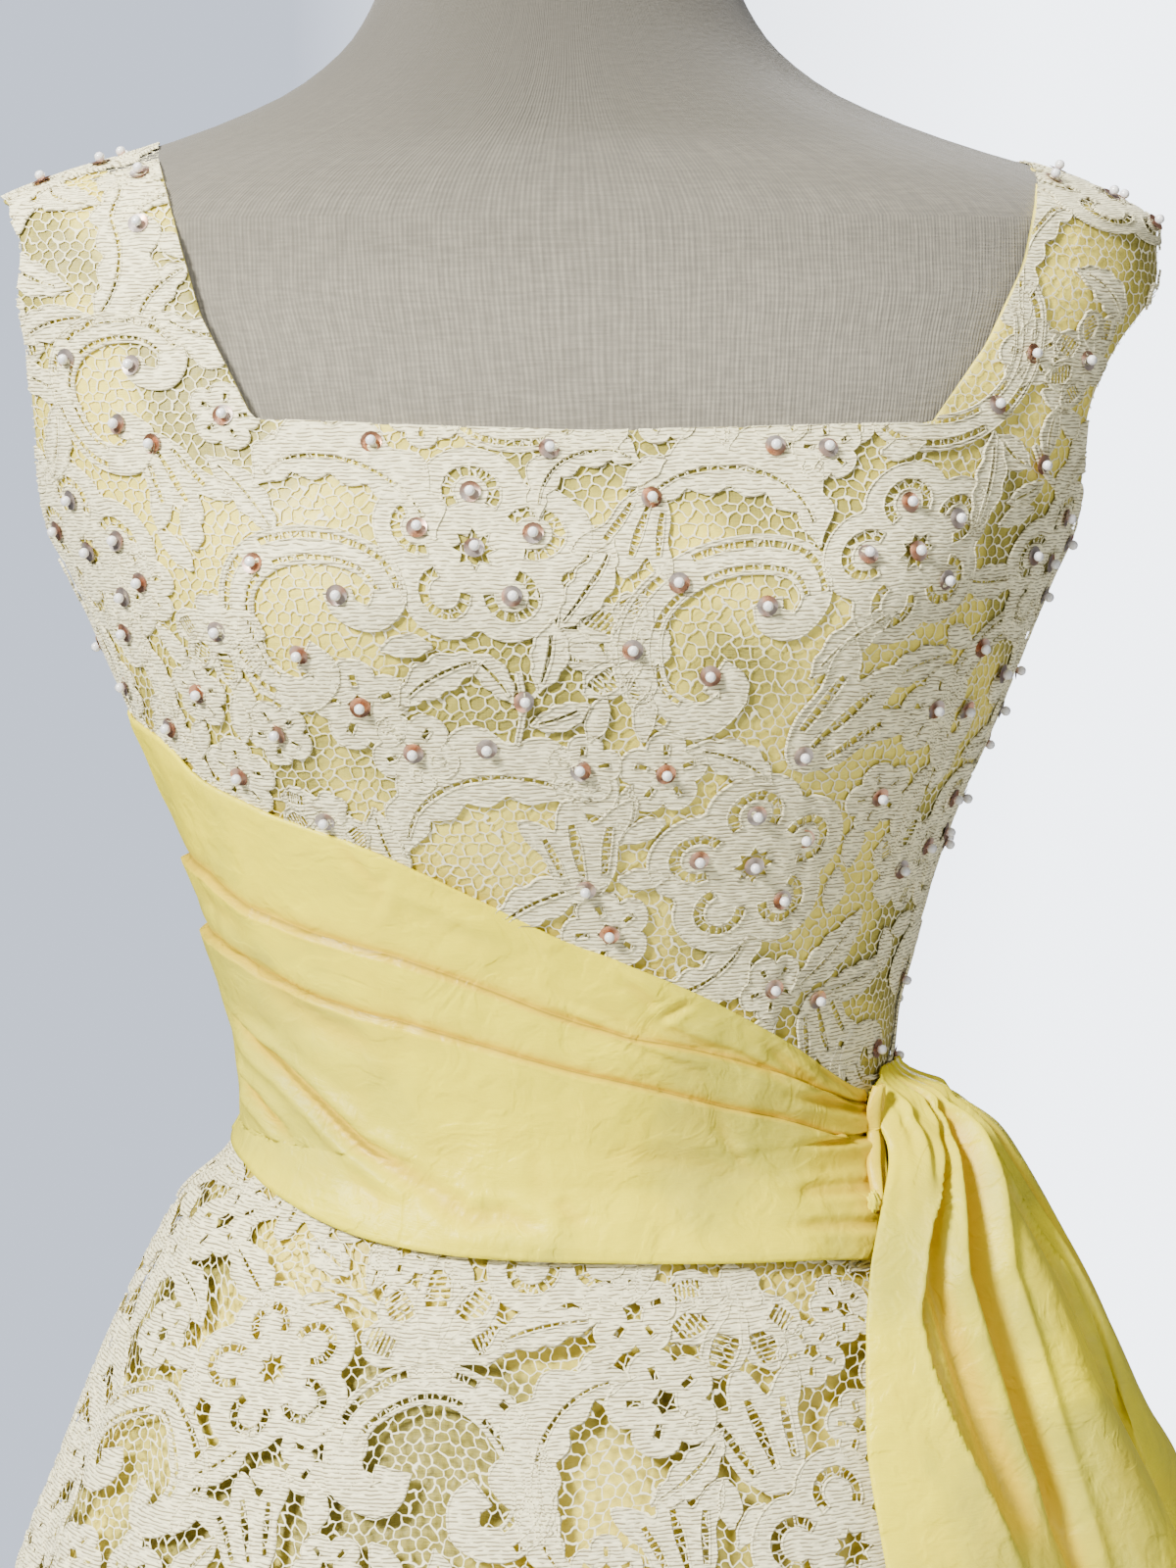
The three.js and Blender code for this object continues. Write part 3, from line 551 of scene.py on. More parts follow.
class Finish:
    """A material with its shader; every other node comes from one method."""

    def __init__(self, name, constants):
        self.material = bpy.data.materials.new(name)
        self.material.use_nodes = True
        self.tree = self.material.node_tree
        self.shader = self.tree.nodes["Principled BSDF"]
        for socket, value in constants.items():
            self.shader.inputs[socket].default_value = value

    def node(self, kind, settings=None, inputs=None, output=0):
        node = self.tree.nodes.new("ShaderNode" + kind)
        for key, value in (settings or {}).items():
            setattr(node, key, value)
        for key, value in (inputs or {}).items():
            if isinstance(value, Value):
                self.tree.links.new(value.socket, node.inputs[key])
            else:
                node.inputs[key].default_value = value
        return Value(self, node.outputs[output])

    def cloth(self):
        return self.node("UVMap", {"uv_map": "cloth"})

    def place(self):
        return self.node("TexCoord", output="Object")

    def scaled(self, vector, across, along, deep=1.0):
        return self.node("VectorMath", {"operation": "MULTIPLY"}, {0: vector, 1: (across, along, deep)})

    def noise(self, vector, scale, detail=2.0, distortion=0.0):
        return self.node("TexNoise", {}, {"Vector": vector, "Scale": scale, "Detail": detail,
                                          "Distortion": distortion})

    def blend(self, factor, first, second):
        return self.node("Mix", {"data_type": "RGBA"}, {0: factor, 6: first, 7: second}, 2)

    def bump(self, height, strength, distance):
        return self.node("Bump", {}, {"Height": height, "Strength": strength,
                                      "Distance": distance * MM})

    def drive(self, sockets):
        for name, value in sockets.items():
            self.tree.links.new(value.socket, self.shader.inputs[name])
        return self.material


def shade(colour, gain=1.0, alpha=1.0):
    return (*(min(c * gain, 1.0) for c in colour[:3]), alpha)


# Half the height of a row of six-sided cells that are one wide.
HALF_ROW = math.sqrt(3) / 2


def satin_finish(name, colour, tint_and_painted_shade_colour, shade_colour, shaded, patches):
    """Soft rayon satin: a broad sheen, faint weft lines, random gold patches and slight crinkles, with
    painted shade in broad patches and where the 'valley' attribute marks it.
    """
    f = Finish(name, {"Sheen Weight": 0.05, "Sheen Roughness": 0.4, "Specular IOR Level": 0.26})
    f.shader.inputs["Sheen Tint"].default_value = shade(colour)
    cloth, place = f.cloth(), f.place()
    # Painted shade: broad random patches that darken the satin towards its shade colour.
    painted_shade_patches = f.noise(place, patches, 4.0, 0.5).ramp(0.42, 0.60)
    patch = f.noise(place, 24.0, 3.0, 0.9).ramp(0.48, 0.72)
    weft = f.noise(f.scaled(cloth, 160.0, 2200.0), 1.0, 2.0)
    warp = f.noise(f.scaled(cloth, 2200.0, 160.0), 1.0, 1.0)
    crumple = f.noise(place, 30.0, 3.0, 0.8)
    small = f.noise(place, 85.0, 4.0, 0.9)
    crinkle = f.noise(place, 42.0, 3.0, 1.4).ramp(0.45, 0.56)
    # Painted shade from the 'valley' attribute: pleat lines, creases, the tail's hollows and the satin
    # beside the sash are darkened towards the tint colour, and to a deep gold where it is strongest.
    deep = f.node("Attribute", {"attribute_name": "valley"}, {}, 2)
    tone = f.blend(painted_shade_patches * shaded, shade(colour), shade(shade_colour))
    tone = f.blend(patch * 0.22, tone, shade(tint_and_painted_shade_colour))
    tone = f.blend(weft.ramp(0.35, 0.7) * 0.22 + warp.ramp(0.4, 0.7) * 0.12, tone, shade(colour, 0.82))
    tone = f.blend(deep, tone, shade(tint_and_painted_shade_colour))
    tone = f.blend(deep.ramp(0.95, 1.3) * 0.7, tone, shade(tint_and_painted_shade_colour, 0.4))
    rough = painted_shade_patches * 0.06 + small * 0.14 + 0.33
    height = crumple * 1.6 + small * 0.8 + crinkle * 0.22 + weft * 0.08
    return f.drive({"Base Color": tone, "Roughness": rough, "Normal": f.bump(height, 0.9, 1.2)})


def net_finish(name, colour, cell, thread):
    """An irregular six-sided net, open between its threads."""
    f = Finish(name, {"Specular IOR Level": 0.25, "Roughness": 0.85})
    cloth = f.cloth()
    wide = f.node("VectorMath", {"operation": "SCALE"}, {0: cloth, "Scale": 1000.0 / cell})
    sway = f.node("TexNoise", {"noise_dimensions": "2D"}, {"Vector": wide, "Scale": 0.75, "Detail": 1.0}, 1)
    sway = f.node("VectorMath", {"operation": "SUBTRACT"}, {0: sway, 1: (0.5, 0.5, 0.5)})
    wide = f.node("VectorMath", {"operation": "MULTIPLY_ADD"}, {0: sway, 1: (0.95, 0.95, 0.0), 2: wide})

    def from_centre(shift):
        moved_by = f.node("VectorMath", {"operation": "ADD"}, {0: wide, 1: (shift[0], shift[1], 0.0)})
        wrapped = f.node("VectorMath", {"operation": "WRAP"},
                         {0: moved_by, 1: (0.5, HALF_ROW, 1.0), 2: (-0.5, -HALF_ROW, 0.0)})
        bare = f.node("VectorMath", {"operation": "MULTIPLY"}, {0: wrapped, 1: (1.0, 1.0, 0.0)})
        return f.node("VectorMath", {"operation": "ABSOLUTE"}, {0: bare})

    def reach(vector):
        slant = f.node("VectorMath", {"operation": "DOT_PRODUCT"}, {0: vector, 1: (0.5, HALF_ROW, 0.0)}, 1)
        return slant.math("MAXIMUM", f.node("SeparateXYZ", {}, {0: vector}, 0))

    edge = 0.5 - reach(from_centre((0.0, 0.0))).math("MINIMUM", reach(from_centre((0.5, HALF_ROW))))
    thick = f.noise(wide, 1.3, 1.0)
    half = thread / cell / 2
    cover = 1 - (edge / (thick + 0.5)).ramp(half * 0.75, half * 1.35)
    tone = f.blend(thick.ramp(0.3, 0.7), shade(colour, 0.92), shade(colour, 1.04))
    return f.drive({"Base Color": tone, "Alpha": cover, "Normal": f.bump(cover, 0.5, 0.4)})


def clothwork_finish(name, colour, painted_gap_shade_colour):
    """Close darned threads with thin gaps between them, where the satin below shows in painted shade."""
    f = Finish(name, {"Specular IOR Level": 0.2, "Sheen Weight": 0.15, "Sheen Roughness": 0.5})
    cloth = f.cloth()
    wander = f.noise(f.scaled(cloth, 120.0, 120.0), 1.0, 2.0)
    along = f.node("SeparateXYZ", {}, {0: cloth}, 1)
    thread = (along * (2 * math.pi * 1000 / 1.3) + wander * 11.0).math("SINE") * 0.5 + 0.5
    dash = f.noise(f.scaled(cloth, 260.0, 820.0), 1.0, 2.0)
    # Painted shade: the gaps between the threads are darkened towards a deep olive.
    painted_gap_shade_mask = thread.ramp(0.5, 0.08) * dash.ramp(0.38, 0.52)
    tone = f.blend(dash.ramp(0.3, 0.75) * 0.6, shade(colour, 1.08), shade(colour, 0.80))
    tone = f.blend(painted_gap_shade_mask * 0.9, tone, shade(painted_gap_shade_colour))
    height = thread * 0.6 + dash * 0.5
    rough = dash * 0.1 + 0.78
    return f.drive({"Base Color": tone, "Roughness": rough, "Normal": f.bump(height, 0.7, 0.3)})


def jersey_finish(name, colour):
    """Linen jersey: fine upright ribs with slubs across them, and painted shade towards the top of the neck.
    """
    f = Finish(name, {"Specular IOR Level": 0.15, "Sheen Weight": 0.2, "Sheen Roughness": 0.6})
    cloth = f.cloth()
    across = f.node("SeparateXYZ", {}, {0: cloth}, 0)
    sway = f.noise(f.scaled(cloth, 90.0, 30.0), 1.0, 2.0)
    rib = (across * (2 * math.pi * 1000 / 1.15) + sway * 7.0).math("SINE") * 0.5 + 0.5
    slub = f.noise(f.scaled(cloth, 130.0, 700.0), 1.0, 3.0)
    upright = f.noise(f.scaled(cloth, 800.0, 60.0), 1.0, 2.0)
    mottle = slub.ramp(0.35, 0.68) * 0.5 + upright.ramp(0.35, 0.66) * 0.5
    worn = f.noise(f.place(), 7.0, 3.0).ramp(0.3, 0.7)
    tone = f.blend(mottle, shade(colour, 0.74), shade(colour, 1.2))
    tone = f.blend(rib * 0.5, tone, shade(colour, 0.5))
    tone = f.blend(worn * 0.25, tone, shade(colour, 0.8))
    # Painted shade: the neck grows darker towards its top.
    neck = f.node("SeparateXYZ", {}, {0: f.place()}, 2).ramp(1.30, 1.41)
    tone = f.blend(neck * 0.9, tone, shade(colour, 0.4))
    height = rib * 0.7 + mottle
    rough = mottle * 0.1 + 0.82
    return f.drive({"Base Color": tone, "Roughness": rough, "Normal": f.bump(height, 0.55, 0.3)})


def enamel_finish(name, colour):
    """Stove enamel with a faint orange-peel surface."""
    f = Finish(name, {"Metallic": 0.25, "Coat Roughness": 0.3})
    peel = f.noise(f.place(), 420.0, 2.0)
    wear = f.noise(f.place(), 30.0, 4.0).ramp(0.55, 0.75)
    tone = f.blend(wear, shade(colour), shade(colour, 1.5))
    return f.drive({"Base Color": tone, "Roughness": wear * 0.2 + 0.34,
                    "Normal": f.bump(peel, 0.2, 0.15)})


def pearl_finish(name, colour):
    f = Finish(name, {"Specular IOR Level": 0.7, "Coat Weight": 0.6, "Coat Roughness": 0.12})
    lustre = f.noise(f.place(), 700.0, 2.0)
    # Painted shade: the pearl turns greyer towards its rim, by the angle it is seen at.
    painted_rim_shade = f.node("LayerWeight", {}, {"Blend": 0.35}, 1)
    tone = f.blend(painted_rim_shade * 0.7, shade(colour), shade((0.70, 0.66, 0.64)))
    return f.drive({"Base Color": tone, "Roughness": lustre * 0.15 + 0.18})


def sequin_finish(name, colour):
    f = Finish(name, {"Metallic": 0.85, "Specular IOR Level": 0.6})
    worn = f.noise(f.place(), 90.0, 2.0).ramp(0.4, 0.62)
    tone = f.blend(worn, shade(colour), shade((0.42, 0.36, 0.32)))
    return f.drive({"Base Color": tone, "Roughness": worn * 0.2 + 0.25})


def floor_finish(name, colour):
    f = Finish(name, {"Specular IOR Level": 0.2})
    grain = f.noise(f.place(), 6.0, 3.0)
    tone = f.blend(grain.ramp(0.3, 0.7), shade(colour, 0.98), shade(colour, 1.02))
    return f.drive({"Base Color": tone, "Roughness": grain * 0.1 + 0.75})


def finish_for(key):
    """The material of a slot, made once."""
    looks = bpy.context.scene.gown_looks
    if key in bpy.data.materials:
        return bpy.data.materials[key]
    thread = tuple(looks.lace_colour)
    return {
        # Each satin's second colour is its random tint and its painted shade in valleys; the third is its
        # painted shade in broad patches.
        "gown_satin": lambda: satin_finish(key, tuple(looks.satin_colour), (0.78, 0.53, 0.01),
                                           (0.57, 0.51, 0.05), 0.9, 11.0),
        "under_satin": lambda: satin_finish(key, tuple(looks.under_colour), (0.50, 0.38, 0.03),
                                            (0.22, 0.19, 0.04), 0.9, 15.0),
        "lace_net": lambda: net_finish(key, thread, looks.net_cell, looks.net_thread),
        # The clothwork's gap colour is painted shade, where the satin shows between its threads.
        "lace_clothwork": lambda: clothwork_finish(key, thread, (0.21, 0.17, 0.08)),
        "form_jersey": lambda: jersey_finish(key, tuple(looks.form_colour)),
        "stand_enamel": lambda: enamel_finish(key, (0.028, 0.028, 0.031)),
        "bead_pearl": lambda: pearl_finish(key, (0.86, 0.84, 0.80)),
        "bead_sequin": lambda: sequin_finish(key, (0.52, 0.24, 0.12)),
        "stage_floor": lambda: floor_finish(key, (0.80, 0.81, 0.83)),
    }[key]()


# ------------------------------------------------------------------ lace motifs

BASE_HEIGHT, CLOTH_HEIGHT = 0.35, 0.62
# The outline cord's three edges: how far in from the outline, and how high.
CORD_EDGES = ((-0.1, 0.02), (0.25, 0.9), (0.62, 0.5))
BAR_WIDTH, BAR_HEIGHT = 0.5, 0.5
# Motifs that overlap lie one on another.
LAYER_STEP = 0.14


def smooth_route(route, steps):
    """An open smooth curve through a route's points."""
    p = np.asarray(route, float)
    p = np.vstack([2 * p[0] - p[1], p, 2 * p[-1] - p[-2]])
    at = np.linspace(0, len(p) - 3, steps)
    k = np.minimum(at.astype(int), len(p) - 4)
    t = (at - k)[:, None]
    p0, p1, p2, p3 = p[k], p[k + 1], p[k + 2], p[k + 3]
    return 0.5 * (2 * p1 + (p2 - p0) * t + (2 * p0 - 5 * p1 + 4 * p2 - p3) * t**2
                  + (3 * p1 - p0 - 3 * p2 + p3) * t**3)


def turned_left(loop, left=True):
    """A closed loop that runs with its inside on the left, or on the right."""
    x, y = np.asarray(loop).T
    area = np.sum(x * np.roll(y, -1) - y * np.roll(x, -1))
    return loop if (area > 0) == left else loop[::-1]


def petalled(radius, petals, depth, steps, turn=90.0, round_=0.6):
    """A round outline with petals."""
    t = np.linspace(0, 2 * np.pi, petals * max(2, round(steps / petals * DETAIL["steps"])), endpoint=False)
    r = radius * (1 - depth + depth * np.abs(np.cos(petals * t / 2)) ** round_)
    t = t + np.radians(turn)
    return np.stack([r * np.cos(t), r * np.sin(t)], 1)


def arc(centre, radius, start, end, steps):
    t = np.radians(np.linspace(start, end, steps))
    return np.stack([centre[0] + radius * np.cos(t), centre[1] + radius * np.sin(t)], 1)


class Tape:
    """A tape along a curved route, with a width on each side of it."""

    def __init__(self, route, left, right, steps=24, scallops=0, nick=0.3, curved=True):
        steps = max(3 * scallops + 2, int(steps * DETAIL["steps"]), 6)
        self.line = smooth_route(route, steps) if curved else np.asarray(route, float)
        self.share = np.linspace(0, 1, len(self.line))
        along = np.gradient(self.line, axis=0)
        along /= np.linalg.norm(along, axis=1, keepdims=True)
        self.side = np.stack([-along[:, 1], along[:, 0]], 1)
        wave = 1 - nick * (1 - np.abs(np.sin(np.pi * scallops * self.share))) if scallops else 1.0
        profile = lambda widths: wave * smooth_profile(self.share, widths)
        self.left, self.right = profile(left), profile(right)

    def at(self, share, across):
        """Points at shares of the length; across runs from -1, right, to 1, left."""
        share, across = np.broadcast_arrays(share, across)
        column = lambda values: np.interp(share, self.share, values)
        width = np.where(across > 0, column(self.left), column(self.right)) * across
        return np.stack([column(self.line[:, k]) + column(self.side[:, k]) * width for k in (0, 1)], -1)

    def outline(self):
        return np.concatenate([self.at(self.share, 1.0), self.at(self.share[::-1], -1.0)])

    def window(self, start, end, low, high, steps=9):
        steps = max(3, int(steps * DETAIL["steps"]))
        t = np.linspace(start, end, steps)
        return np.concatenate([self.at(t, low), self.at(t[::-1], high)])

    def bars(self, start, end, low, high, count):
        t = np.linspace(start, end, count + 2)[1:-1]
        return list(zip(self.at(t, low), self.at(t, high)))


def smooth_profile(share, widths):
    widths = np.asarray(widths, float)
    at = share * (len(widths) - 1)
    k = np.minimum(at.astype(int), len(widths) - 2)
    return widths[k] + (widths[k + 1] - widths[k]) * smooth(at - k)


class Motif:
    """A lace motif laid out flat: rows of across, up and height, with faces and bead spots."""

    def __init__(self):
        self.rows, self.faces, self.beads, self.count = [], [], [], 0

    def add(self, rows, faces):
        self.faces.append(np.asarray(faces) + self.count)
        self.rows.append(np.asarray(rows, float))
        self.count += len(rows)

    def done(self):
        self.rows, self.faces = np.concatenate(self.rows), np.concatenate(self.faces)
        return self

    def patch(self, outline, windows=(), spacing=3.4):
        """Clothwork with openings, edged with cord."""
        loops = [turned_left(np.asarray(outline))] + [turned_left(w, False) for w in windows]
        edges, start = [], 0
        for loop in loops:
            edges += [(start + k, start + (k + 1) % len(loop)) for k in range(len(loop))]
            start += len(loop)
        low, high = loops[0].min(0), loops[0].max(0)
        across, up = (np.arange(low[k] + spacing / 2, high[k], spacing) for k in (0, 1))
        inner = np.stack(np.meshgrid(across, up), -1).reshape(-1, 2)
        room = -outline_distance(inner, loops[0])
        for loop in loops[1:]:
            room = np.minimum(room, outline_distance(inner, loop))
        inner = inner[(room > spacing * 0.4) & DETAIL["fine"]]
        points = np.concatenate([*loops, inner])
        made = delaunay_2d_cdt([Vector(p) for p in points], edges, [], 0, 1e-4)
        verts, faces = np.array([v[:] for v in made[0]]), np.array(made[2])
        middle = verts[faces].mean(1)
        keep = outline_distance(middle, loops[0]) < 0
        room = -outline_distance(verts, loops[0])
        for loop in loops[1:]:
            keep &= outline_distance(middle, loop) > 0
            room = np.minimum(room, outline_distance(verts, loop))
        height = BASE_HEIGHT + (CLOTH_HEIGHT - BASE_HEIGHT) * smooth(room / 1.5)
        self.add(np.column_stack([verts, height]), faces[keep])
        for loop in loops:
            self.cord(loop)

    def cord(self, loop):
        """The raised thread that edges the clothwork."""
        if not DETAIL["fine"]:
            return
        along = np.roll(loop, -1, 0) - np.roll(loop, 1, 0)
        along /= np.maximum(np.linalg.norm(along, axis=1, keepdims=True), 1e-6)
        inward = np.stack([-along[:, 1], along[:, 0]], 1)
        rows = []
        for inset, height in CORD_EDGES:
            p = loop + inward * inset
            rows.append(np.column_stack([p, np.full(len(p), height)]))
        n = len(loop)
        k, after = np.arange(n), (np.arange(n) + 1) % n
        faces = []
        for band in range(len(CORD_EDGES) - 1):
            a, b, c, d = band * n + k, band * n + after, (band + 1) * n + after, (band + 1) * n + k
            faces += [np.stack([a, b, c], 1), np.stack([a, c, d], 1)]
        self.add(np.concatenate(rows), np.concatenate(faces))

    def bars(self, pairs):
        """Thin threads across an opening."""
        if not DETAIL["fine"]:
            pairs = pairs[::3]
        for p, q in pairs:
            run = (q - p) / max(np.linalg.norm(q - p), 1e-6)
            side = np.array([-run[1], run[0]]) * BAR_WIDTH / 2
            corners = np.array([p - side, p + side, q + side, q - side])
            rows = np.column_stack([corners, np.full(4, BAR_HEIGHT)])
            self.add(rows, [(0, 3, 2), (0, 2, 1)])


def rosette():
    m = Motif()
    windows, pairs = [], []
    for k in range(5):
        turn = 90 + 72 * k
        petal = np.array([17.3 * math.cos(math.radians(turn)), 17.3 * math.sin(math.radians(turn))])
        tape = Tape(arc(petal, 6.7, turn - 128, turn + 128, 13), (1.6, 1.6), (1.6, 1.6), curved=False)
        windows.append(tape.window(0, 1, -1, 1, 12))
        pairs += tape.bars(0, 1, -1, 1, 9)
        if k != 2:
            m.beads.append(petal)
    windows.append(petalled(6.4, 8, 0.4, 16, round_=1.0))
    m.patch(petalled(31, 5, 0.25, 84), windows)
    m.bars(pairs)
    m.beads.append(np.zeros(2))
    return m.done()


def blossom():
    m = Motif()
    windows = [petalled(3.3, 5, 0.3, 10)]
    for k in range(5):
        turn = math.radians(90 + 72 * k)
        out = np.array([math.cos(turn), math.sin(turn)])
        slot = Tape((out * 5.6, out * 9.0), (0.7, 0.9), (0.7, 0.9), curved=False)
        windows.append(slot.window(0, 1, -1, 1, 3))
    m.patch(petalled(13.5, 5, 0.27, 50), windows)
    m.beads.append(np.zeros(2))
    return m.done()


def scroll():
    """A C-shaped scroll with a bulb at each curled end."""
    m = Motif()
    route = ((-4, -13), (3, -19), (-7, -26), (-20, -20), (-25, -5), (-21, 9), (-9, 19), (7, 22),
             (21, 18), (26, 8), (21, 0), (13, 2), (11, 8))
    tape = Tape(route, (5.5, 5, 6.2, 6.6, 6.4, 6, 6, 6, 6, 5.6, 4.5, 4.6, 4.6),
                (5.5, 5, 5, 5.4, 6.4, 6, 6, 6, 5.6, 4.5, 4, 4.6, 4.6), steps=56)
    outer = [(0.22, 0.46), (0.50, 0.74)]
    windows = [tape.window(a, b, 0.35, 0.72, 14) for a, b in outer]
    windows += [tape.window(a, b, -0.78, -0.5, 14) for a, b in outer]
    m.patch(tape.outline(), windows, 3.0)
    for a, b in outer:
        m.bars(tape.bars(a, b, 0.35, 0.72, 17) + tape.bars(a, b, -0.78, -0.5, 14))
    m.beads += [np.array([-5.0, -13.0]), np.array([11.0, 6.5]), np.array([-14.0, 15.0])]
    return m.done()


def fan():
    """Five open petals that spread from a round base."""
    m = Motif()
    for turn, reach in ((20, 20), (52, 24), (88, 26), (124, 24), (158, 20)):
        out = np.array([math.cos(math.radians(turn)), math.sin(math.radians(turn))])
        tape = Tape((out * 3, out * reach * 0.6, out * reach), (1.6, 4.4, 6.2, 5.6, 1.2),
                    (1.6, 4.4, 6.2, 5.6, 1.2), steps=16)
        m.patch(tape.outline(), [tape.window(0.42, 0.86, -0.55, 0.55, 6)], 3.6)
        m.bars(tape.bars(0.42, 0.86, -0.55, 0.55, 5))
    m.patch(petalled(7.5, 5, 0.2, 20))
    m.beads.append(np.array([0.0, 6.0]))
    return m.done()


def tulip():
    """A bell-shaped flower with three tips on a short stalk."""
    m = Motif()
    outline = rounded_loop(((0, -17), (5, -15), (10, -8), (12, 1), (17, 8), (18, 15), (11, 13), (6, 9),
                            (4, 15), (0, 19), (-4, 15), (-6, 9), (-11, 13), (-18, 15), (-17, 8),
                            (-12, 1), (-10, -8), (-5, -15)), 3)
    slots = [Tape(((s * 6, -9), (s * 8, 0), (s * 10, 7)), (0.9, 1.3, 0.9), (0.9, 1.3, 0.9), steps=7)
             for s in (-1, 1)]
    middle = Tape(((0, -10), (0, 2), (0, 10)), (0.8, 1.6, 1.0), (0.8, 1.6, 1.0), steps=7)
    m.patch(outline, [t.window(0, 1, -1, 1, 7) for t in (*slots, middle)])
    for t in (*slots, middle):
        m.bars(t.bars(0, 1, -1, 1, 7))
    m.beads.append(np.array([0.0, -13.0]))
    return m.done()


def leaf():
    m = Motif()
    tape = Tape(((0, -17), (1.5, -6), (1, 6), (-2, 17)), (0.9, 5.4, 7.2, 5.2, 0.8),
                (0.9, 5.4, 7.2, 5.2, 0.8), steps=30, scallops=4, nick=0.28)
    m.patch(tape.outline(), [tape.window(0.10, 0.84, -0.09, 0.09, 8)])
    m.bars(tape.bars(0.10, 0.84, -0.1, 0.1, 9))
    return m.done()


def bud():
    m = Motif()
    tape = Tape(((0, -8), (0.6, 0), (0, 8)), (0.9, 3.9, 3.4, 0.8), (0.9, 3.9, 3.4, 0.8), steps=12)
    m.patch(tape.outline())
    return m.done()


def frond():
    """A broad curved leaf with deep lobes along both edges and a dotted vein."""
    m = Motif()
    tape = Tape(((-27, -14), (-19, -1), (-6, 6), (8, 7), (21, 2), (31, -8)),
                (1.2, 10, 15, 15.5, 13, 9, 1.0), (1.0, 6.5, 8.5, 8.5, 7.5, 5, 0.8), steps=50,
                scallops=5, nick=0.34)
    m.patch(tape.outline(), [tape.window(0.08, 0.88, -0.10, 0.05, 16)])
    m.bars(tape.bars(0.08, 0.88, -0.12, 0.06, 20))
    m.beads.append(np.array([4.0, 16.0]))
    return m.done()


def sprig():
    """Three leaves on a curved stalk, with a bud at its foot."""
    m = Motif()
    for x, y, turn, size in ((-8, 2, 40, 0.62), (6, 8, -12, 0.7), (9, -8, -70, 0.55)):
        tape = Tape(((0, -14), (1, 0), (-1, 15)), (0.9, 6.4, 7.4, 0.9), (0.9, 6.4, 7.4, 0.9), steps=18,
                    scallops=3, nick=0.25)
        c, s = math.cos(math.radians(turn)), math.sin(math.radians(turn))
        spin = np.array([[c, s], [-s, c]]) * size
        move = lambda p: p @ spin + np.array([x, y])
        m.patch(move(tape.outline()), [move(tape.window(0.15, 0.8, -0.12, 0.12, 5))])
    stalk = Tape(((-2, -16), (0, -6), (-1, 4)), (0.9, 0.9), (0.9, 0.9), steps=8)
    m.patch(stalk.outline())
    m.beads.append(np.array([0.0, -4.0]))
    return m.done()


# How closely the motifs are modelled: closely where they are seen close to, plainly further down.
DETAIL = {"fine": True, "steps": 1.0}
MOTIFS = {}
MOTIF_MAKERS = {"rosette": rosette, "blossom": blossom, "scroll": scroll, "fan": fan, "tulip": tulip,
                "leaf": leaf, "bud": bud, "frond": frond, "sprig": sprig}
MOTIF_REACH = {"rosette": 29, "blossom": 13, "scroll": 28, "fan": 20, "tulip": 16, "leaf": 12,
               "bud": 6.5, "frond": 22, "sprig": 15}


def motif(kind):
    key = (kind, DETAIL["fine"])
    if key not in MOTIFS:
        MOTIFS[key] = MOTIF_MAKERS[kind]()
    return MOTIFS[key]


# Where the motifs lie: kind, millimetres right of the panel's middle, height, turn, size, mirrored.
FRONT_LAYOUT = (
    ("rosette", -39, 1234, 0, 1.0, False), ("rosette", 107, 1231, 12, 1.0, False),
    ("rosette", 53, 1129, 3, 1.0, False), ("scroll", 42, 1207, 0, 1.0, False),
    ("scroll", -93, 1214, 5, 0.95, False), ("scroll", -158, 1287, 18, 0.85, False),
    ("fan", 17, 1202, 95, 0.9, False), ("tulip", 14, 1239, 160, 0.8, False),
    ("frond", -80, 1256, -20, 0.95, False), ("frond", 48, 1251, -22, 1.0, False),
    ("frond", -6, 1258, 35, 0.62, True), ("sprig", -24, 1190, 0, 1.1, False),
    ("blossom", -76, 1184, 10, 1.15, False), ("blossom", -59, 1169, 40, 1.0, False),
    ("fan", -129, 1214, 190, 0.9, False), ("blossom", -160, 1224, 0, 1.0, False),
    ("blossom", -176, 1207, 30, 0.9, False), ("tulip", 82, 1177, -48, 1.2, False),
    ("frond", -37, 1152, 8, 1.1, False), ("fan", -88, 1150, 155, 0.8, False),
    ("tulip", -6, 1135, 12, 0.95, False), ("blossom", 22, 1161, 0, 1.0, False),
    ("blossom", 5, 1107, 20, 1.05, False), ("leaf", -18, 1117, 115, 1.1, False),
    ("frond", 33, 1093, -165, 0.8, False), ("tulip", 84, 1069, 200, 0.85, False),
    ("leaf", 84, 1096, -50, 1.0, False), ("fan", 112, 1118, -50, 1.0, False),
    ("blossom", 121, 1179, 0, 1.1, False), ("blossom", 100, 1150, 15, 0.9, False),
    ("scroll", 150, 1186, 70, 0.8, True), ("rosette", 152, 1133, 20, 0.85, False),
    ("leaf", 137, 1253, -10, 1.0, False), ("sprig", 160, 1262, 40, 1.0, True),
    ("rosette", 184, 1226, 0, 0.9, False), ("fan", 186, 1292, 60, 0.9, False),
    ("frond", 160, 1330, 70, 0.85, True), ("blossom", 155, 1296, 0, 0.9, False),
    ("frond", -160, 1334, -75, 0.85, True), ("tulip", -139, 1258, 205, 0.85, False),
    ("leaf", -114, 1252, 35, 0.9, False), ("blossom", -147, 1359, 0, 0.9, False),
)
SKIRT_LAYOUT = (
    ("fan", -56, 966, 0, 1.2, False), ("scroll", -54, 934, -70, 1.05, False),
    ("blossom", 11, 981, 0, 1.05, False), ("fan", 47, 986, 165, 1.1, False),
    ("frond", -14, 938, 60, 0.95, False), ("blossom", 20, 952, 20, 1.25, False),
    ("tulip", 52, 940, 20, 1.1, False), ("blossom", -136, 1002, 0, 1.1, False),
    ("rosette", -112, 960, 10, 0.85, False), ("scroll", -172, 925, 20, 0.9, True),
    ("sprig", -88, 988, 60, 1.0, False), ("leaf", -20, 975, 100, 1.0, False),
)
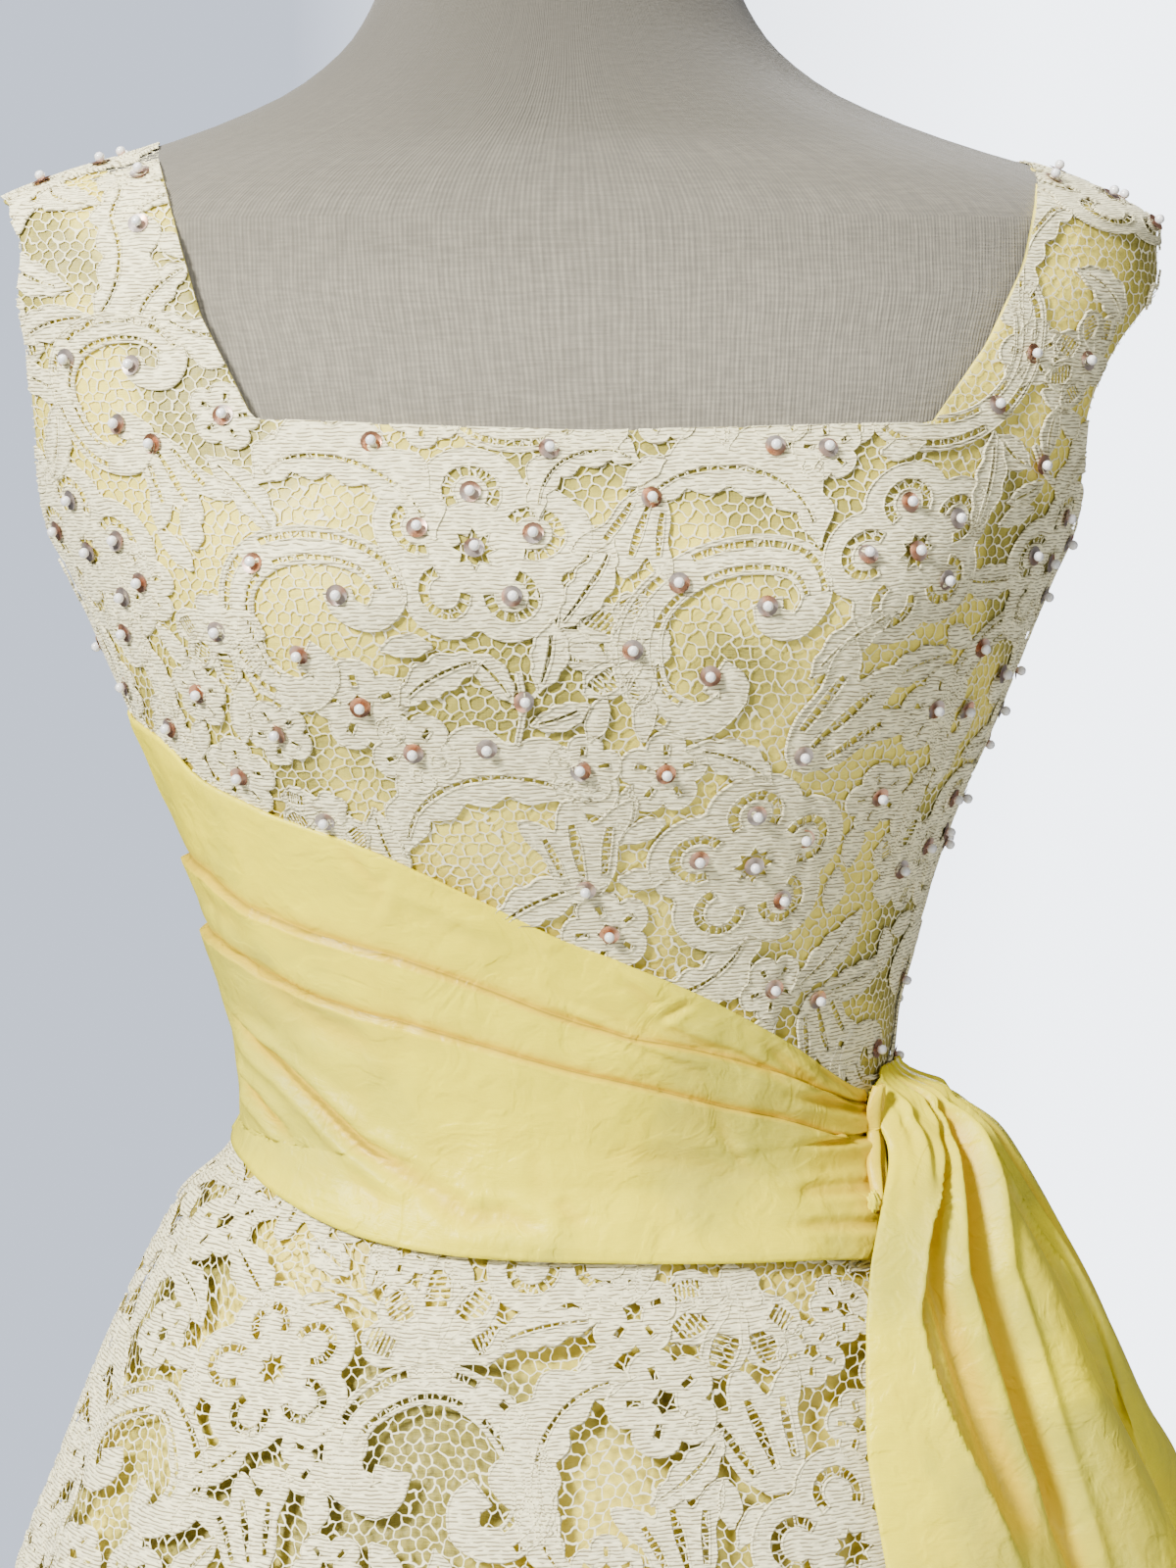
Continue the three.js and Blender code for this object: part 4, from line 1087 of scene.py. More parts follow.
# One repeat of the lace, from its first rosette.
REPEAT = (146.0, 226.0)
REPEAT_LAYOUT = (
    ("rosette", 0, 0, 0, 1.0, False), ("scroll", 82, -26, 0, 1.0, False),
    ("rosette", 92, -108, 10, 1.0, False), ("scroll", 20, -168, 180, 1.0, False),
    ("fan", 55, -32, 95, 0.9, False), ("frond", 85, 20, -20, 1.0, False),
    ("frond", 2, -78, 10, 1.1, False), ("tulip", 33, -100, 12, 0.95, False),
    ("blossom", 62, -74, 0, 1.0, False), ("sprig", 14, -44, 0, 1.05, False),
    ("tulip", 122, -62, -48, 1.1, False), ("frond", 72, -150, -165, 0.9, False),
    ("fan", 118, -156, -50, 1.0, False), ("blossom", 46, -128, 20, 1.0, False),
    ("frond", 100, -196, 20, 1.0, True), ("tulip", 54, 4, 160, 0.8, False),
    ("sprig", 64, -190, 30, 1.0, True), ("blossom", -18, -120, 0, 1.0, False),
    ("leaf", 130, -118, 20, 1.0, False), ("leaf", -28, -38, -20, 1.0, False),
)


# What fills the gaps between the motifs: kind, size, spacing tried, and how close it may come.
FILLERS = (("blossom", 0.9, 13.0, 0.6), ("leaf", 1.0, 10.0, 0.42), ("bud", 1.05, 8.0, 0.4))
MOTIF_GAIN = 1.09
BEAD_SPOTS = []


# The bodice's panels: middle angle, flat size in metres, and the areas of its satin and its net.
BODICE_CUT = {"front": (270.0, (0.46, 0.44), 0.118, 0.119),
              "back_left": (90.0, (0.25, 0.40), 0.057, 0.057),
              "back_right": (90.0, (0.25, 0.40), 0.055, 0.057)}
# The skirt's panels: middle angle and the area of its satin.
SKIRT_CUT = {"front": (270.0, 0.87), "back": (90.0, 0.90)}
# How far the lace runs on under the sash, and how far the skirt's net lies over its section.
UNDER_SASH, SKIRT_NET_OUT = 8.0, 0.4
# The skirt's lace is modelled closely above this height.
CLOSE_ABOVE_Z = 790.0


class Panel:
    """One cut piece of lace: its surface, its middle line, its heights and what it keeps."""

    def __init__(self, form, middle, low, high, stand, limits, step=1.5, rise=4.0):
        self.form, self.middle, self.stand, self.limits = form, middle, stand, limits
        self.angles = np.linspace(middle - 90, middle + 90, int(180 / step) + 1)
        self.heights = self.even_heights(low, high, rise)
        a, z = np.meshgrid(self.angles, self.heights, indexing="ij")
        self.points = self.surface(a, z, 0.0)
        self.across, self.up = arc_lengths(self.points)
        self.across = self.across - self.across[len(self.angles) // 2]

    def even_heights(self, low, high, rise):
        """Heights that lie evenly along the cloth, also over the shoulder."""
        z = np.linspace(low, high, 700)
        line = self.form(np.full_like(z, self.middle + 42.0), z)
        run = np.concatenate([[0], np.cumsum(np.linalg.norm(np.diff(line, axis=0), axis=1))])
        return np.interp(np.linspace(0, run[-1], max(int(run[-1] / rise), 2)), run, z)

    def surface(self, angle, z, out):
        return moved(self.form, angle, z, out + self.stand(angle, z))

    def sheet_rows(self):
        """The panel's grid, cut to its edges: angle, height and two lengths along the cloth."""
        a, z = np.meshgrid(self.angles, self.heights, indexing="ij")
        rows = np.stack([a, z, self.across, self.up], -1).reshape(-1, 4)
        faces = grid_faces(len(self.angles), len(self.heights))
        return self.trimmed(rows, faces, self.limits)

    def trimmed(self, rows, faces, limits):
        for keep in limits:
            rows, faces = clip(rows, faces, keep(rows[:, 0], rows[:, 1]))
        return rows, faces

    def angle_at(self, across, z):
        """The angle of a length right of the middle line."""
        row = int(np.clip(np.searchsorted(self.heights, z), 1, len(self.heights) - 1))
        t = (z - self.heights[row - 1]) / (self.heights[row] - self.heights[row - 1])
        run = self.across[:, row - 1] * (1 - t) + self.across[:, row] * t
        return float(np.interp(across, run, self.angles))

    def half_width(self, z):
        row = int(np.clip(np.searchsorted(self.heights, z), 0, len(self.heights) - 1))
        return float(self.across[-1, row])

    def place(self, kind, across, z, turn, size, mirrored):
        """A motif's rows on the panel, and where its beads lie."""
        shape = motif(kind)
        angle = self.angle_at(across, z)
        here = np.array([angle, angle, angle + 0.5, angle - 0.5])
        level = np.array([z + 2, z - 2, z, z])
        p = self.form(here, level)
        per_rise = np.linalg.norm(p[0] - p[1]) / 4
        per_turn = np.linalg.norm(p[2] - p[3])
        lean = (self.angle_at(across, z + 5) - self.angle_at(across, z - 5)) * per_turn / 10
        turn = math.radians(turn) - 0.6 * math.atan(lean / per_rise)
        c, s = math.cos(turn) * size, math.sin(turn) * size
        flip = -1 if mirrored else 1
        spin = np.array([[c * flip, s * flip], [-s, c]])
        move = lambda q: np.asarray(q) @ spin
        laid = move(shape.rows[:, :2])
        rows = np.column_stack([angle + laid[:, 0] / per_turn, z + laid[:, 1] / per_rise, shape.rows[:, 2],
                                laid + (across, z)])
        faces = shape.faces[:, ::-1] if mirrored else shape.faces
        hearts = move(np.array(shape.beads).reshape(-1, 2))
        return rows, faces, [(angle + b[0] / per_turn, z + b[1] / per_rise) for b in hearts]

    def lay_out(self, main, first, low, high):
        """The main motifs, then the repeat where it clears them, then leaves and buds between."""
        main = [(kind, x, z, turn, size * MOTIF_GAIN, mirrored) for kind, x, z, turn, size, mirrored in main]
        placed = list(main)
        spots = list(self.spots([(x, z) for _, x, z, *_ in main]))
        reaches = [MOTIF_REACH[kind] * size for kind, _, _, _, size, _ in main]

        def try_all(entries, close):
            entries = [e for e in entries if low < e[2] < high and abs(e[1]) < self.half_width(e[2]) + 8]
            for entry, at in zip(entries, self.spots([(e[1], e[2]) for e in entries])):
                reach = MOTIF_REACH[entry[0]] * entry[4]
                if spots:
                    gaps = np.linalg.norm(np.array(spots) - at, axis=1) - np.array(reaches)
                    if gaps.min() < reach * close:
                        continue
                placed.append(entry)
                spots.append(at)
                reaches.append(reach)

        for kind, x, y, turn, size, mirrored in REPEAT_LAYOUT:
            try_all([(kind, first[0] + column * REPEAT[0] + x, first[1] + row * REPEAT[1] + y, turn,
                      size * MOTIF_GAIN, mirrored)
                     for row in range(-7, 8) for column in range(-7, 8)], 0.42)
        dice = np.random.default_rng(11)
        for kind, size, pitch, close in FILLERS:
            entries = []
            for z in self.even_heights(low, high, pitch):
                half = self.half_width(z)
                entries += [(kind, float(x), float(z), float(dice.uniform(0, 360)), size, False)
                            for x in np.arange(-half, half, pitch)]
            try_all(entries, close)
        return placed

    def spots(self, places):
        """Points of the cloth at lengths right of the middle line and heights."""
        if not places:
            return np.zeros((0, 3))
        angles = np.array([self.angle_at(x, z) for x, z in places])
        return self.form(angles, np.array([float(z) for _, z in places]))

    def motif_rows(self, placed, limits):
        every, faces, beads, count = [], [], [], 0
        for number, entry in enumerate(placed):
            rows, shape_faces, spots = self.place(*entry)
            rows[:, 2] += LAYER_STEP * (number % 3)
            every.append(rows)
            faces.append(shape_faces + count)
            beads += spots
            count += len(rows)
        rows, faces = self.trimmed(np.concatenate(every), np.concatenate(faces), self.limits + limits)
        return rows, faces, beads


def within(start, end):
    return [lambda a, z: a - start, lambda a, z: end - a]


# Foot and tip of each waist dart, as angle and height; depth and half width of its valley and rise.
DARTS = (((229, 1150), (235, 1207)), ((300, 1085), (296, 1190)),
         ((52, 1040), (58, 1150)), ((128, 1040), (122, 1150)))
DART_SHAPE = ((1.3, 0.9), (-0.6, 3.2))


def dart(angle, z):
    """Small valleys where the waist darts are sewn, from under the bust down."""
    deep = 0.0
    for foot, tip in DARTS:
        rise = (z - foot[1]) / (tip[1] - foot[1])
        away = angle - foot[0] - (tip[0] - foot[0]) * np.clip(rise, -1.2, 1.3)
        fade = smooth((1.12 - rise) / 0.4)
        for depth, width in DART_SHAPE:
            deep = deep + depth * np.exp(-(away / width) ** 2) * fade
    return deep


def bodice_ripple(angle, z):
    """The bodice's own soft unevenness over the form."""
    wide = 0.35 * np.sin(np.radians(angle * 7 + z * 0.9)) * np.sin(z / 23.0)
    return wide + 0.25 * np.sin(np.radians(angle * 13) + z / 31.0) - dart(angle, z)


def bodice_panel(name, middle):
    stand = lambda a, z: bodice_ripple(a, z) * smooth((z - WAIST_Z) / 40)
    limits = bodice_limits(name) + [lambda a, z: z - WAIST_Z - 0.3]
    return Panel(bodice_form, middle, WAIST_Z + 0.3, 1378.0, stand, limits)


def skirt_panel(middle, hem, stand):
    half = 90 - 0.05
    return Panel(skirt_form, middle, hem, WAIST_Z - 0.1, stand,
                 within(middle - half, middle + half), step=1.25, rise=14.0)


def build_sheet(name, panel, out, material, node=None, wall=0.0):
    """A panel's cloth as an object, standing for its solid; its satin gets painted shade just outside the
    sash, as the sash's shadow.
    """
    rows, faces = panel.sheet_rows()
    points = panel.surface(rows[:, 0], rows[:, 1], out)
    round_ = around(rows[:, 0])
    beyond = np.maximum(rows[:, 1] - SASH("top", round_), SASH("bottom", round_) - rows[:, 1])
    # Painted shadow of the sash on the satin beside it.
    valley = 0.9 * np.exp(-np.maximum(beyond, 0) / SASH_SHADE)
    obj = piece(name, points, faces, rows[:, 2:4], [finish_for(material)], valley)
    if wall:
        thicken(obj, wall)
    if node:
        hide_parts(node)
    return obj


def lace_motifs(name, panel, placed, out, limits, low=None, high=None):
    """The clothwork of a panel as one object, and where its beads lie."""
    band = []
    if low is not None:
        band = [lambda a, z: z - low, lambda a, z: high - z]
    rows, faces, beads = panel.motif_rows(placed, limits + band)
    points = panel.surface(rows[:, 0], rows[:, 1], out + rows[:, 2])
    obj = piece(name, points, faces, rows[:, 3:5], [finish_for("lace_clothwork")])
    return obj, beads


# ------------------------------------------------------------------ sash and tail

def crease_depth(x, y, creases):
    """How far the listed creases push the cloth in; lengths in millimetres."""
    deep = 0.0
    for depth, width, points in creases:
        p = np.array(points, float) * (MM_PER_DEGREE, 1.0)
        lengths = np.concatenate([[0], np.cumsum(np.linalg.norm(np.diff(p, axis=0), axis=1))])
        nearest, share = np.full(x.shape, 1e9), np.zeros(x.shape)
        for k in range(len(p) - 1):
            edge = p[k + 1] - p[k]
            t = np.clip(((x - p[k, 0]) * edge[0] + (y - p[k, 1]) * edge[1]) / (edge @ edge), 0, 1)
            d = np.hypot(x - p[k, 0] - t * edge[0], y - p[k, 1] - t * edge[1])
            closer = d < nearest
            nearest = np.where(closer, d, nearest)
            run = (lengths[k] + t * (lengths[k + 1] - lengths[k])) / lengths[-1]
            share = np.where(closer, run, share)
        taper = smooth(np.minimum(share, 1 - share) / 0.3) * 0.85 + 0.15
        body = np.exp(-(nearest / width) ** 2) - 0.35 * np.exp(-((nearest - 2.0 * width) / width) ** 2)
        deep = deep + depth * taper * body
    return deep


def sash_cloth(name, start, end, creases, columns):
    """A side of the sash: three overlapping pleats, with its creases."""
    knots = (0.0, 0.53, 0.74, 1.0)
    edge = 0.004
    w = np.concatenate([np.linspace(0, knots[1] - edge, 50), np.linspace(knots[1], knots[2] - edge, 22),
                        np.linspace(knots[2], 1, 26)])
    column = np.linspace(0, 1, columns)[:, None] + 0 * w
    w = w + 0 * column
    angle = start(w) + (end(w) - start(w)) * column
    round_ = around(angle)
    lines = [np.interp(round_, *zip(*line)) for line in PLEAT_LINES]
    middle = (w - knots[1]) / (knots[2] - knots[1])
    share = np.where(w < knots[1], w / knots[1] * lines[0],
                     np.where(w < knots[2], lines[0] + middle * (lines[1] - lines[0]),
                              lines[1] + (w - knots[2]) / (1 - knots[2]) * (1 - lines[1])))
    top, bottom = SASH("top", round_), SASH("bottom", round_)
    z = bottom + (top - bottom) * share
    out = np.maximum(SASH_OFFSET["bottom"] + (SASH_OFFSET["top"] - SASH_OFFSET["bottom"]) * smooth(share),
                     SASH_OFFSET["over_lace"] * (1 - smooth((z - WAIST_Z) / SASH_OFFSET["blend"])))
    relief = 1.6 + 0 * z
    # Painted shade along each pleat line, where the fold tucks under.
    valley = 0.0
    for line, depth, knot in zip(lines, PLEAT_STEPS, knots[1:]):
        below = w < knot - edge / 2
        fall = 1 - smooth((line - share) / 0.32)
        valley = valley + 1.4 * np.exp(-np.abs(share - line) / np.where(below, 0.004, 0.013))
        relief = relief + np.where(below, depth * fall, -1.6 * np.exp(-(share - line) / 0.016))
    x = round_ * MM_PER_DEGREE
    dents = crease_depth(x, z, creases)
    relief = relief - 1.5 * dents
    # More painted shade in the creases, and growing towards the right side of the body, where less light
    # falls.
    valley = np.clip(valley + 0.35 * np.clip(dents, 0, None) + 0.8 * smooth((round_ - 112) / 40), 0, 1.3)
    sway = np.sin(x / 19.0 + z / 31.0) * np.sin(z / 17.0 - x / 43.0)
    fine = np.sin(x / 7.3 - z / 5.1) * np.sin(x / 11.7 + z / 8.3)
    crisp = (np.abs(np.sin(x / 17.0 - z / 13.0 + 1.9 * np.sin(z / 21.0 + x / 29.0)))
             - np.abs(np.sin(x / 11.0 + z / 19.0 + 1.6 * np.sin(x / 23.0 - z / 17.0))))
    relief = relief + 0.8 * sway + 0.22 * fine + 0.42 * crisp
    rim = smooth(np.minimum(share, 1 - share) / 0.035)
    relief = relief * (0.55 + 0.45 * rim)
    return cloth_grid(name, moved(gown_form, angle, z, out + np.maximum(relief, 0.25)), valley)


def tail_relief(share, z):
    """The tail's own folds and creases, over those of its solid."""
    out = 0.0
    for kind, depth, width, points in TAIL_CREASES:
        rows = np.array(sorted(points), float)
        line = np.interp(z, rows[:, 0], rows[:, 1])
        head = 1.0 if rows[-1, 0] > 1000 else smooth((rows[-1, 0] - z) / 26 + 0.12)
        ends = smooth((z - rows[0, 0]) / 26 + 0.12) * smooth((1066 - z) / 50) * head
        away = (share - line) / width
        if kind == "fold":
            form = np.where(away < 0, np.exp(away), -np.exp(-away)) * smooth(np.abs(away) * 2.5)
        else:
            form = np.exp(-away**2) * (1 if kind == "ridge" else -1)
        out = out + 1.5 * depth * form * ends
    gathers = np.sin(share * 61.0 + np.sin(z / 13.0) * 0.8) + 0.5 * np.sin(share * 97.0 + 1.3)
    out = out + 0.8 * gathers * smooth((z - 985) / 35)
    soft = np.sin(share * 19.0 + z / 47.0) * np.sin(z / 29.0 + share * 7.0)
    crisp = np.abs(np.sin(share * 31.0 - z / 23.0 + 1.7 * np.sin(z / 37.0)))
    return out + 0.9 * soft + 0.8 * (crisp - 0.6) * smooth((1000 - z) / 60)


# ------------------------------------------------------------------ beads

def placed_copies(shape, spots):
    """One small shape copied to points with frames, as one set of points."""
    return np.concatenate([p + shape @ frame for p, frame in spots])


def taken_mesh(obj):
    """A small model's points and triangles; the model itself is removed."""
    select_only(obj)
    apply_modifier(obj, "TRIANGULATE")
    mesh = obj.data
    points = np.array([v.co[:] for v in mesh.vertices])
    faces = np.array([p.vertices[:] for p in mesh.polygons])
    bpy.data.objects.remove(obj)
    return points, faces


def sequin_shape(diameter):
    """A dished sequin, in millimetres."""
    bpy.ops.mesh.primitive_circle_add(vertices=14, radius=diameter / 2, fill_type="NGON")
    obj = bpy.context.active_object
    bpy.ops.object.mode_set(mode="EDIT")
    bpy.ops.mesh.select_all(action="SELECT")
    bpy.ops.mesh.inset(thickness=diameter * 0.16)
    bpy.ops.transform.translate(value=(0, 0, -0.3))
    bpy.ops.mesh.inset(thickness=diameter * 0.14)
    bpy.ops.transform.translate(value=(0, 0, -0.15))
    bpy.ops.object.mode_set(mode="OBJECT")
    return taken_mesh(obj)


def pearl_shape(diameter):
    """A pearl bead with the dimple of its hole, in millimetres."""
    bpy.ops.mesh.primitive_uv_sphere_add(segments=12, ring_count=8, radius=diameter / 2)
    obj = bpy.context.active_object
    for vertex in obj.data.vertices:
        if vertex.co.z > diameter * 0.49:
            vertex.co.z -= diameter * 0.1
    return taken_mesh(obj)


# ------------------------------------------------------------------ settings

def length(name, description, default):
    return FloatProperty(name=name, description=description, default=default, min=0.0)


def colour(name, description, default):
    return FloatVectorProperty(name=name, description=description, default=default, size=3, min=0.0,
                               max=1.0, subtype="COLOR")


class GownLooks(bpy.types.PropertyGroup):
    """Colours and thread sizes"""
    satin_colour: colour("Satin", "Colour of the sash and its tail", (0.96, 0.81, 0.008))
    under_colour: colour("Under-satin", "Colour of the satin under the lace", (0.86, 0.72, 0.12))
    lace_colour: colour("Lace", "Colour of the lace's threads", (0.90, 0.83, 0.51))
    form_colour: colour("Form", "Colour of the dress form's jersey", (0.225, 0.202, 0.150))
    net_cell: length("Net cell", "Width of one cell of the net, in millimetres", 4.5)
    net_thread: length("Net thread", "Thickness of the net's threads, in millimetres", 0.52)


class GownSizes(bpy.types.PropertyGroup):
    """Sizes of the cloth and beads, in millimetres"""
    under_wall: length("Bodice satin", "Thickness of the satin under the bodice lace", 1.3)
    skirt_wall: length("Skirt satin", "Thickness of the skirt's satin", 0.9)
    sash_wall: length("Sash", "Thickness of the sash", 1.3)
    pearl: length("Pearl", "Diameter of a pearl bead", 3.5)
    sequin: length("Sequin", "Diameter of a sequin under a bead", 6.9)


# ------------------------------------------------------------------ operators

class GOWN_OT_form(bpy.types.Operator):
    """Cover the dress form and finish its stand"""
    bl_idname = "gown.form"
    bl_label = "Dress form and stand"

    def execute(self, context):
        for node in ("stand_pole", "stand_base"):
            frame["nodes"][node].data.materials.clear()
            frame["nodes"][node].data.materials.append(finish_for("stand_enamel"))
        torso = self.torso()
        torso.data.materials.append(finish_for("form_jersey"))
        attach(torso, BODY)
        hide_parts("form_torso")
        cap = self.cap()
        cap.data.materials.append(finish_for("stand_enamel"))
        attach(cap, BODY)
        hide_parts("form_neck_cap")
        return {"FINISHED"}

    def torso(self):
        """The padded form: a grid bent round into the figure, with its arm plates cut flat."""
        columns, rows = 180, 130
        select_none()
        bpy.ops.mesh.primitive_grid_add(x_subdivisions=columns, y_subdivisions=rows, size=2)
        obj = bpy.context.active_object
        obj.name = obj.data.name = "form_torso_jersey"
        flat = np.array([v.co[:2] for v in obj.data.vertices])
        angle = (flat[:, 0] + 1) * 180 + 90
        z = FORM_BOTTOM_Z + (flat[:, 1] + 1) / 2 * (NECK_TOP_Z - FORM_BOTTOM_Z)
        upper = moved(bodice_form, angle, z, -FORM_WALL - form_clearance(z))
        upper[:, 2] = z
        lower = section(HIPS, angle, z)
        blend = smooth((z - 1000) / 30)[:, None]
        points = (upper * blend + lower * (1 - blend)) * MM
        obj.data.vertices.foreach_set("co", points.astype(np.float32).ravel())
        layer = obj.data.uv_layers[0]
        layer.name = "cloth"
        uv = np.zeros(len(obj.data.loops) * 2, np.float32)
        layer.data.foreach_get("uv", uv)
        uv = (uv.reshape(-1, 2) * (0.98, 0.78)).astype(np.float32)
        layer.data.foreach_set("uv", uv.ravel())
        select_only(obj)
        bpy.ops.object.mode_set(mode="EDIT")
        bpy.ops.mesh.select_all(action="SELECT")
        bpy.ops.mesh.remove_doubles(threshold=0.00002)
        bpy.ops.mesh.select_all(action="DESELECT")
        bpy.ops.mesh.select_mode(type="EDGE")
        bpy.ops.mesh.select_non_manifold()
        bpy.ops.mesh.edge_face_add()
        for side in (-1, 1):
            bpy.ops.mesh.select_all(action="SELECT")
            bpy.ops.mesh.bisect(plane_co=(side * ARM_PLATE_X * MM, 0, 0), plane_no=(side, 0, 0),
                                use_fill=True, clear_outer=True)
        bpy.ops.mesh.select_all(action="SELECT")
        bpy.ops.mesh.normals_make_consistent(inside=False)
        bpy.ops.object.mode_set(mode="OBJECT")
        bpy.ops.object.shade_smooth_by_angle(angle=math.radians(40))
        return obj

    def cap(self):
        """The neck cap, shaped to the neck with a rounded rim."""
        bottom = NECK_TOP_Z + SEAM
        select_none()
        bpy.ops.mesh.primitive_cylinder_add(vertices=72, radius=1.0, depth=2.0)
        obj = bpy.context.active_object
        obj.name = obj.data.name = "form_neck_cap_enamel"
        local = np.array([v.co[:] for v in obj.data.vertices])
        angle = np.degrees(np.arctan2(local[:, 1], local[:, 0]))
        rim = moved(bodice_form, angle, np.full(len(angle), NECK_TOP_Z), -(FORM_WALL + CAP["inset"]))
        rim[:, 2] = np.where(local[:, 2] > 0, bottom + CAP["height"], bottom)
        obj.data.vertices.foreach_set("co", (rim * MM).astype(np.float32).ravel())
        obj.data.update()
        apply_modifier(obj, "BEVEL", width=CAP["round"] * MM, segments=4, limit_method="ANGLE")
        select_only(obj)
        bpy.ops.object.shade_smooth_by_angle(angle=math.radians(CAP["smooth"]))
        return obj


class GOWN_OT_bodice(bpy.types.Operator):
    """Sew the bodice's satin, lace and motifs"""
    bl_idname = "gown.bodice"
    bl_label = "Bodice"

    def execute(self, context):
        sizes = context.scene.gown_sizes
        for name, (middle, flat, cut, _) in BODICE_CUT.items():
            panel = bodice_panel(name, middle)
            node = "bodice_" + name
            satin = build_sheet(node + "_satin", panel, -0.7, "under_satin", node, sizes.under_wall)
            net = build_sheet(node + "_net", panel, -0.1, "lace_net")
            if name == "front":
                placed = panel.lay_out(FRONT_LAYOUT, FRONT_LAYOUT[0][1:3], 1045, 1374)
            else:
                placed = panel.lay_out((), (30, 1240), 1035, 1374)
            hidden = [lambda a, z: z - SASH("top", around(a)) + UNDER_SASH]
            work, beads = lace_motifs(node + "_motifs", panel, placed, -0.1, hidden)
            BEAD_SPOTS.append((name, panel, beads, net, work))
        return {"FINISHED"}


class GOWN_OT_beads(bpy.types.Operator):
    """Sew a pearl on a sequin at the heart of each flower and scroll of the bodice"""
    bl_idname = "gown.beads"
    bl_label = "Beads"

    def execute(self, context):
        sizes = context.scene.gown_sizes
        dice = np.random.default_rng(5)
        for name, panel, beads, net, work in BEAD_SPOTS:
            node, (_, flat, _, cut) = "bodice_" + name, BODICE_CUT[name]
            spots = self.spots(panel, beads, dice)
            for part, shape, rise, material, slot in (
                    ("sequins", sequin_shape(sizes.sequin), 0.55, "bead_sequin", "sequin"),
                    ("pearls", pearl_shape(sizes.pearl), 0.35 + sizes.pearl / 2, "bead_pearl", "pearl")):
                points, faces = shape
                copies = placed_copies(points + (0, 0, rise), spots)
                every = np.concatenate([faces + k * len(points) for k in range(len(spots))])
                obj = piece(node + "_" + part, copies, every, None, [finish_for(material)])
            node + "_satin"
        return {"FINISHED"}

    def spots(self, panel, beads, dice):
        """Where the beads sit, and the slightly tilted axes of each."""
        a, z = np.array(beads).T
        keep = z > SASH("top", around(a)) + 5
        for limit in panel.limits:
            keep &= limit(a, z) > 3.5
        a, z = a[keep], z[keep]
        low, high = panel.surface(a, z, 0.75), panel.surface(a, z, 1.75)
        spots = []
        for p, q in zip(low, high):
            normal = q - p
            side = np.cross((0, 0, 1.0), normal)
            lean = dice.normal(0, 0.12, 2)
            normal = normal + side * lean[0] + np.cross(normal, side) * lean[1]
            normal /= np.linalg.norm(normal)
            side = np.cross((0, 0, 1.0), normal)
            side /= np.linalg.norm(side)
            spots.append((p, np.array([side, np.cross(normal, side), normal])))
        return spots


class GOWN_OT_sash(bpy.types.Operator):
    """Wrap the pleated sash and hang its gathered tail"""
    bl_idname = "gown.sash"
    bl_label = "Sash and tail"

    def execute(self, context):
        wall = context.scene.gown_sizes.sash_wall
        ends = {
            "front": (lambda w: 180 + SASH_SEAM + 0 * w, lambda w: np.interp(w, *zip(*SASH_FRONT_END)),
                      SASH_FRONT_CREASES, 170),
            "back": (lambda w: SASH_BACK_START + 0 * w, lambda w: 180 - SASH_SEAM + 0 * w,
                     SASH_BACK_CREASES, 150),
        }
        made = {}
        for side, (start, end, creases, columns) in ends.items():
            made[side] = obj = sash_cloth("sash_" + side + "_satin", start, end, creases, columns)
            thicken(obj, wall)
            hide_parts("sash_" + side)
        tail, tuck, knot = self.tail(), self.tuck(), self.knot()
        return {"FINISHED"}

    def tail(self):
        """The tail, gathered at its head and spread over the skirt in deep folds."""
        share, z = np.meshgrid(np.linspace(0, 1, 221), np.concatenate([
            np.linspace(330, 860, 50), np.linspace(864, TAIL_HEAD["top"], 80)]), indexing="ij")
        start, front, high = TAIL_HEAD["from"], TAIL_HEAD["front"], TAIL_HEAD["top"]
        top = front + (high - front) * smooth(share / TAIL_HEAD["share"])
        z = np.where(z > start, start + (z - start) * (top - start) / (high - start), z)
        front, back = TAIL("front", z), TAIL("back", z)
        relief = tail_relief(share, z)
        close = 0.35 + 0.65 * smooth((top - z) / 14)
        out = (tail_stand_off(share, z) + 1.6 + relief) * close
        points = moved(skirt_form, front + (back - front) * share, z, np.maximum(out, 3.2), 20.0)
        # Painted shade in the tail's sunken folds and creases.
        tail = cloth_grid("sash_tail_satin", points, np.clip(-0.24 * relief, 0, 0.95))
        thicken(tail, TAIL_WALL)
        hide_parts("sash_tail")
        return tail

    def tuck(self):
        """The loop of cloth that peeps out between the sash's end and the head of its tail."""
        across = np.linspace(0, 1, 21)[:, None]
        z, left, right = (row + 0 * across for row in smooth_route(TUCK, 41).T)
        bulge = np.sin(np.pi * across) ** 0.6 - 0.75 * np.exp(-((across - 0.6) / 0.13) ** 2) + 0 * z
        points = moved(gown_form, left + (right - left) * across, z, 5.6 + 3.6 * bulge)
        # Painted shade over the loop: darkest at its sides and in its slit, lightest where it bulges out.
        obj = cloth_grid("sash_tail_tuck", points, np.clip(1.0 - 0.6 * bulge, 0, 0.95))
        thicken(obj, TUCK_WALL)
        return obj

    def knot(self):
        """A small knot of cloth where the sash is caught to the tail."""
        bpy.ops.mesh.primitive_ico_sphere_add(subdivisions=4, radius=KNOT["radius"] * MM)
        obj = bpy.context.active_object
        obj.name = obj.data.name = "sash_tail_knot"
        for vertex in obj.data.vertices:
            x, y, z = vertex.co / MM
            vertex.co *= 1 + 0.3 * math.sin(3.1 * x + 1.9 * z) * math.cos(2.7 * y - 1.4 * z)
            vertex.co.z *= KNOT["tall"]
        obj.location = moved(gown_form, KNOT["angle"], KNOT["z"], KNOT["out"]) * MM
        bpy.ops.object.transform_apply(location=True, rotation=False, scale=False)
        bpy.ops.object.shade_smooth()
        obj.data.materials.append(finish_for("gown_satin"))
        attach(obj, BODY)
        return obj


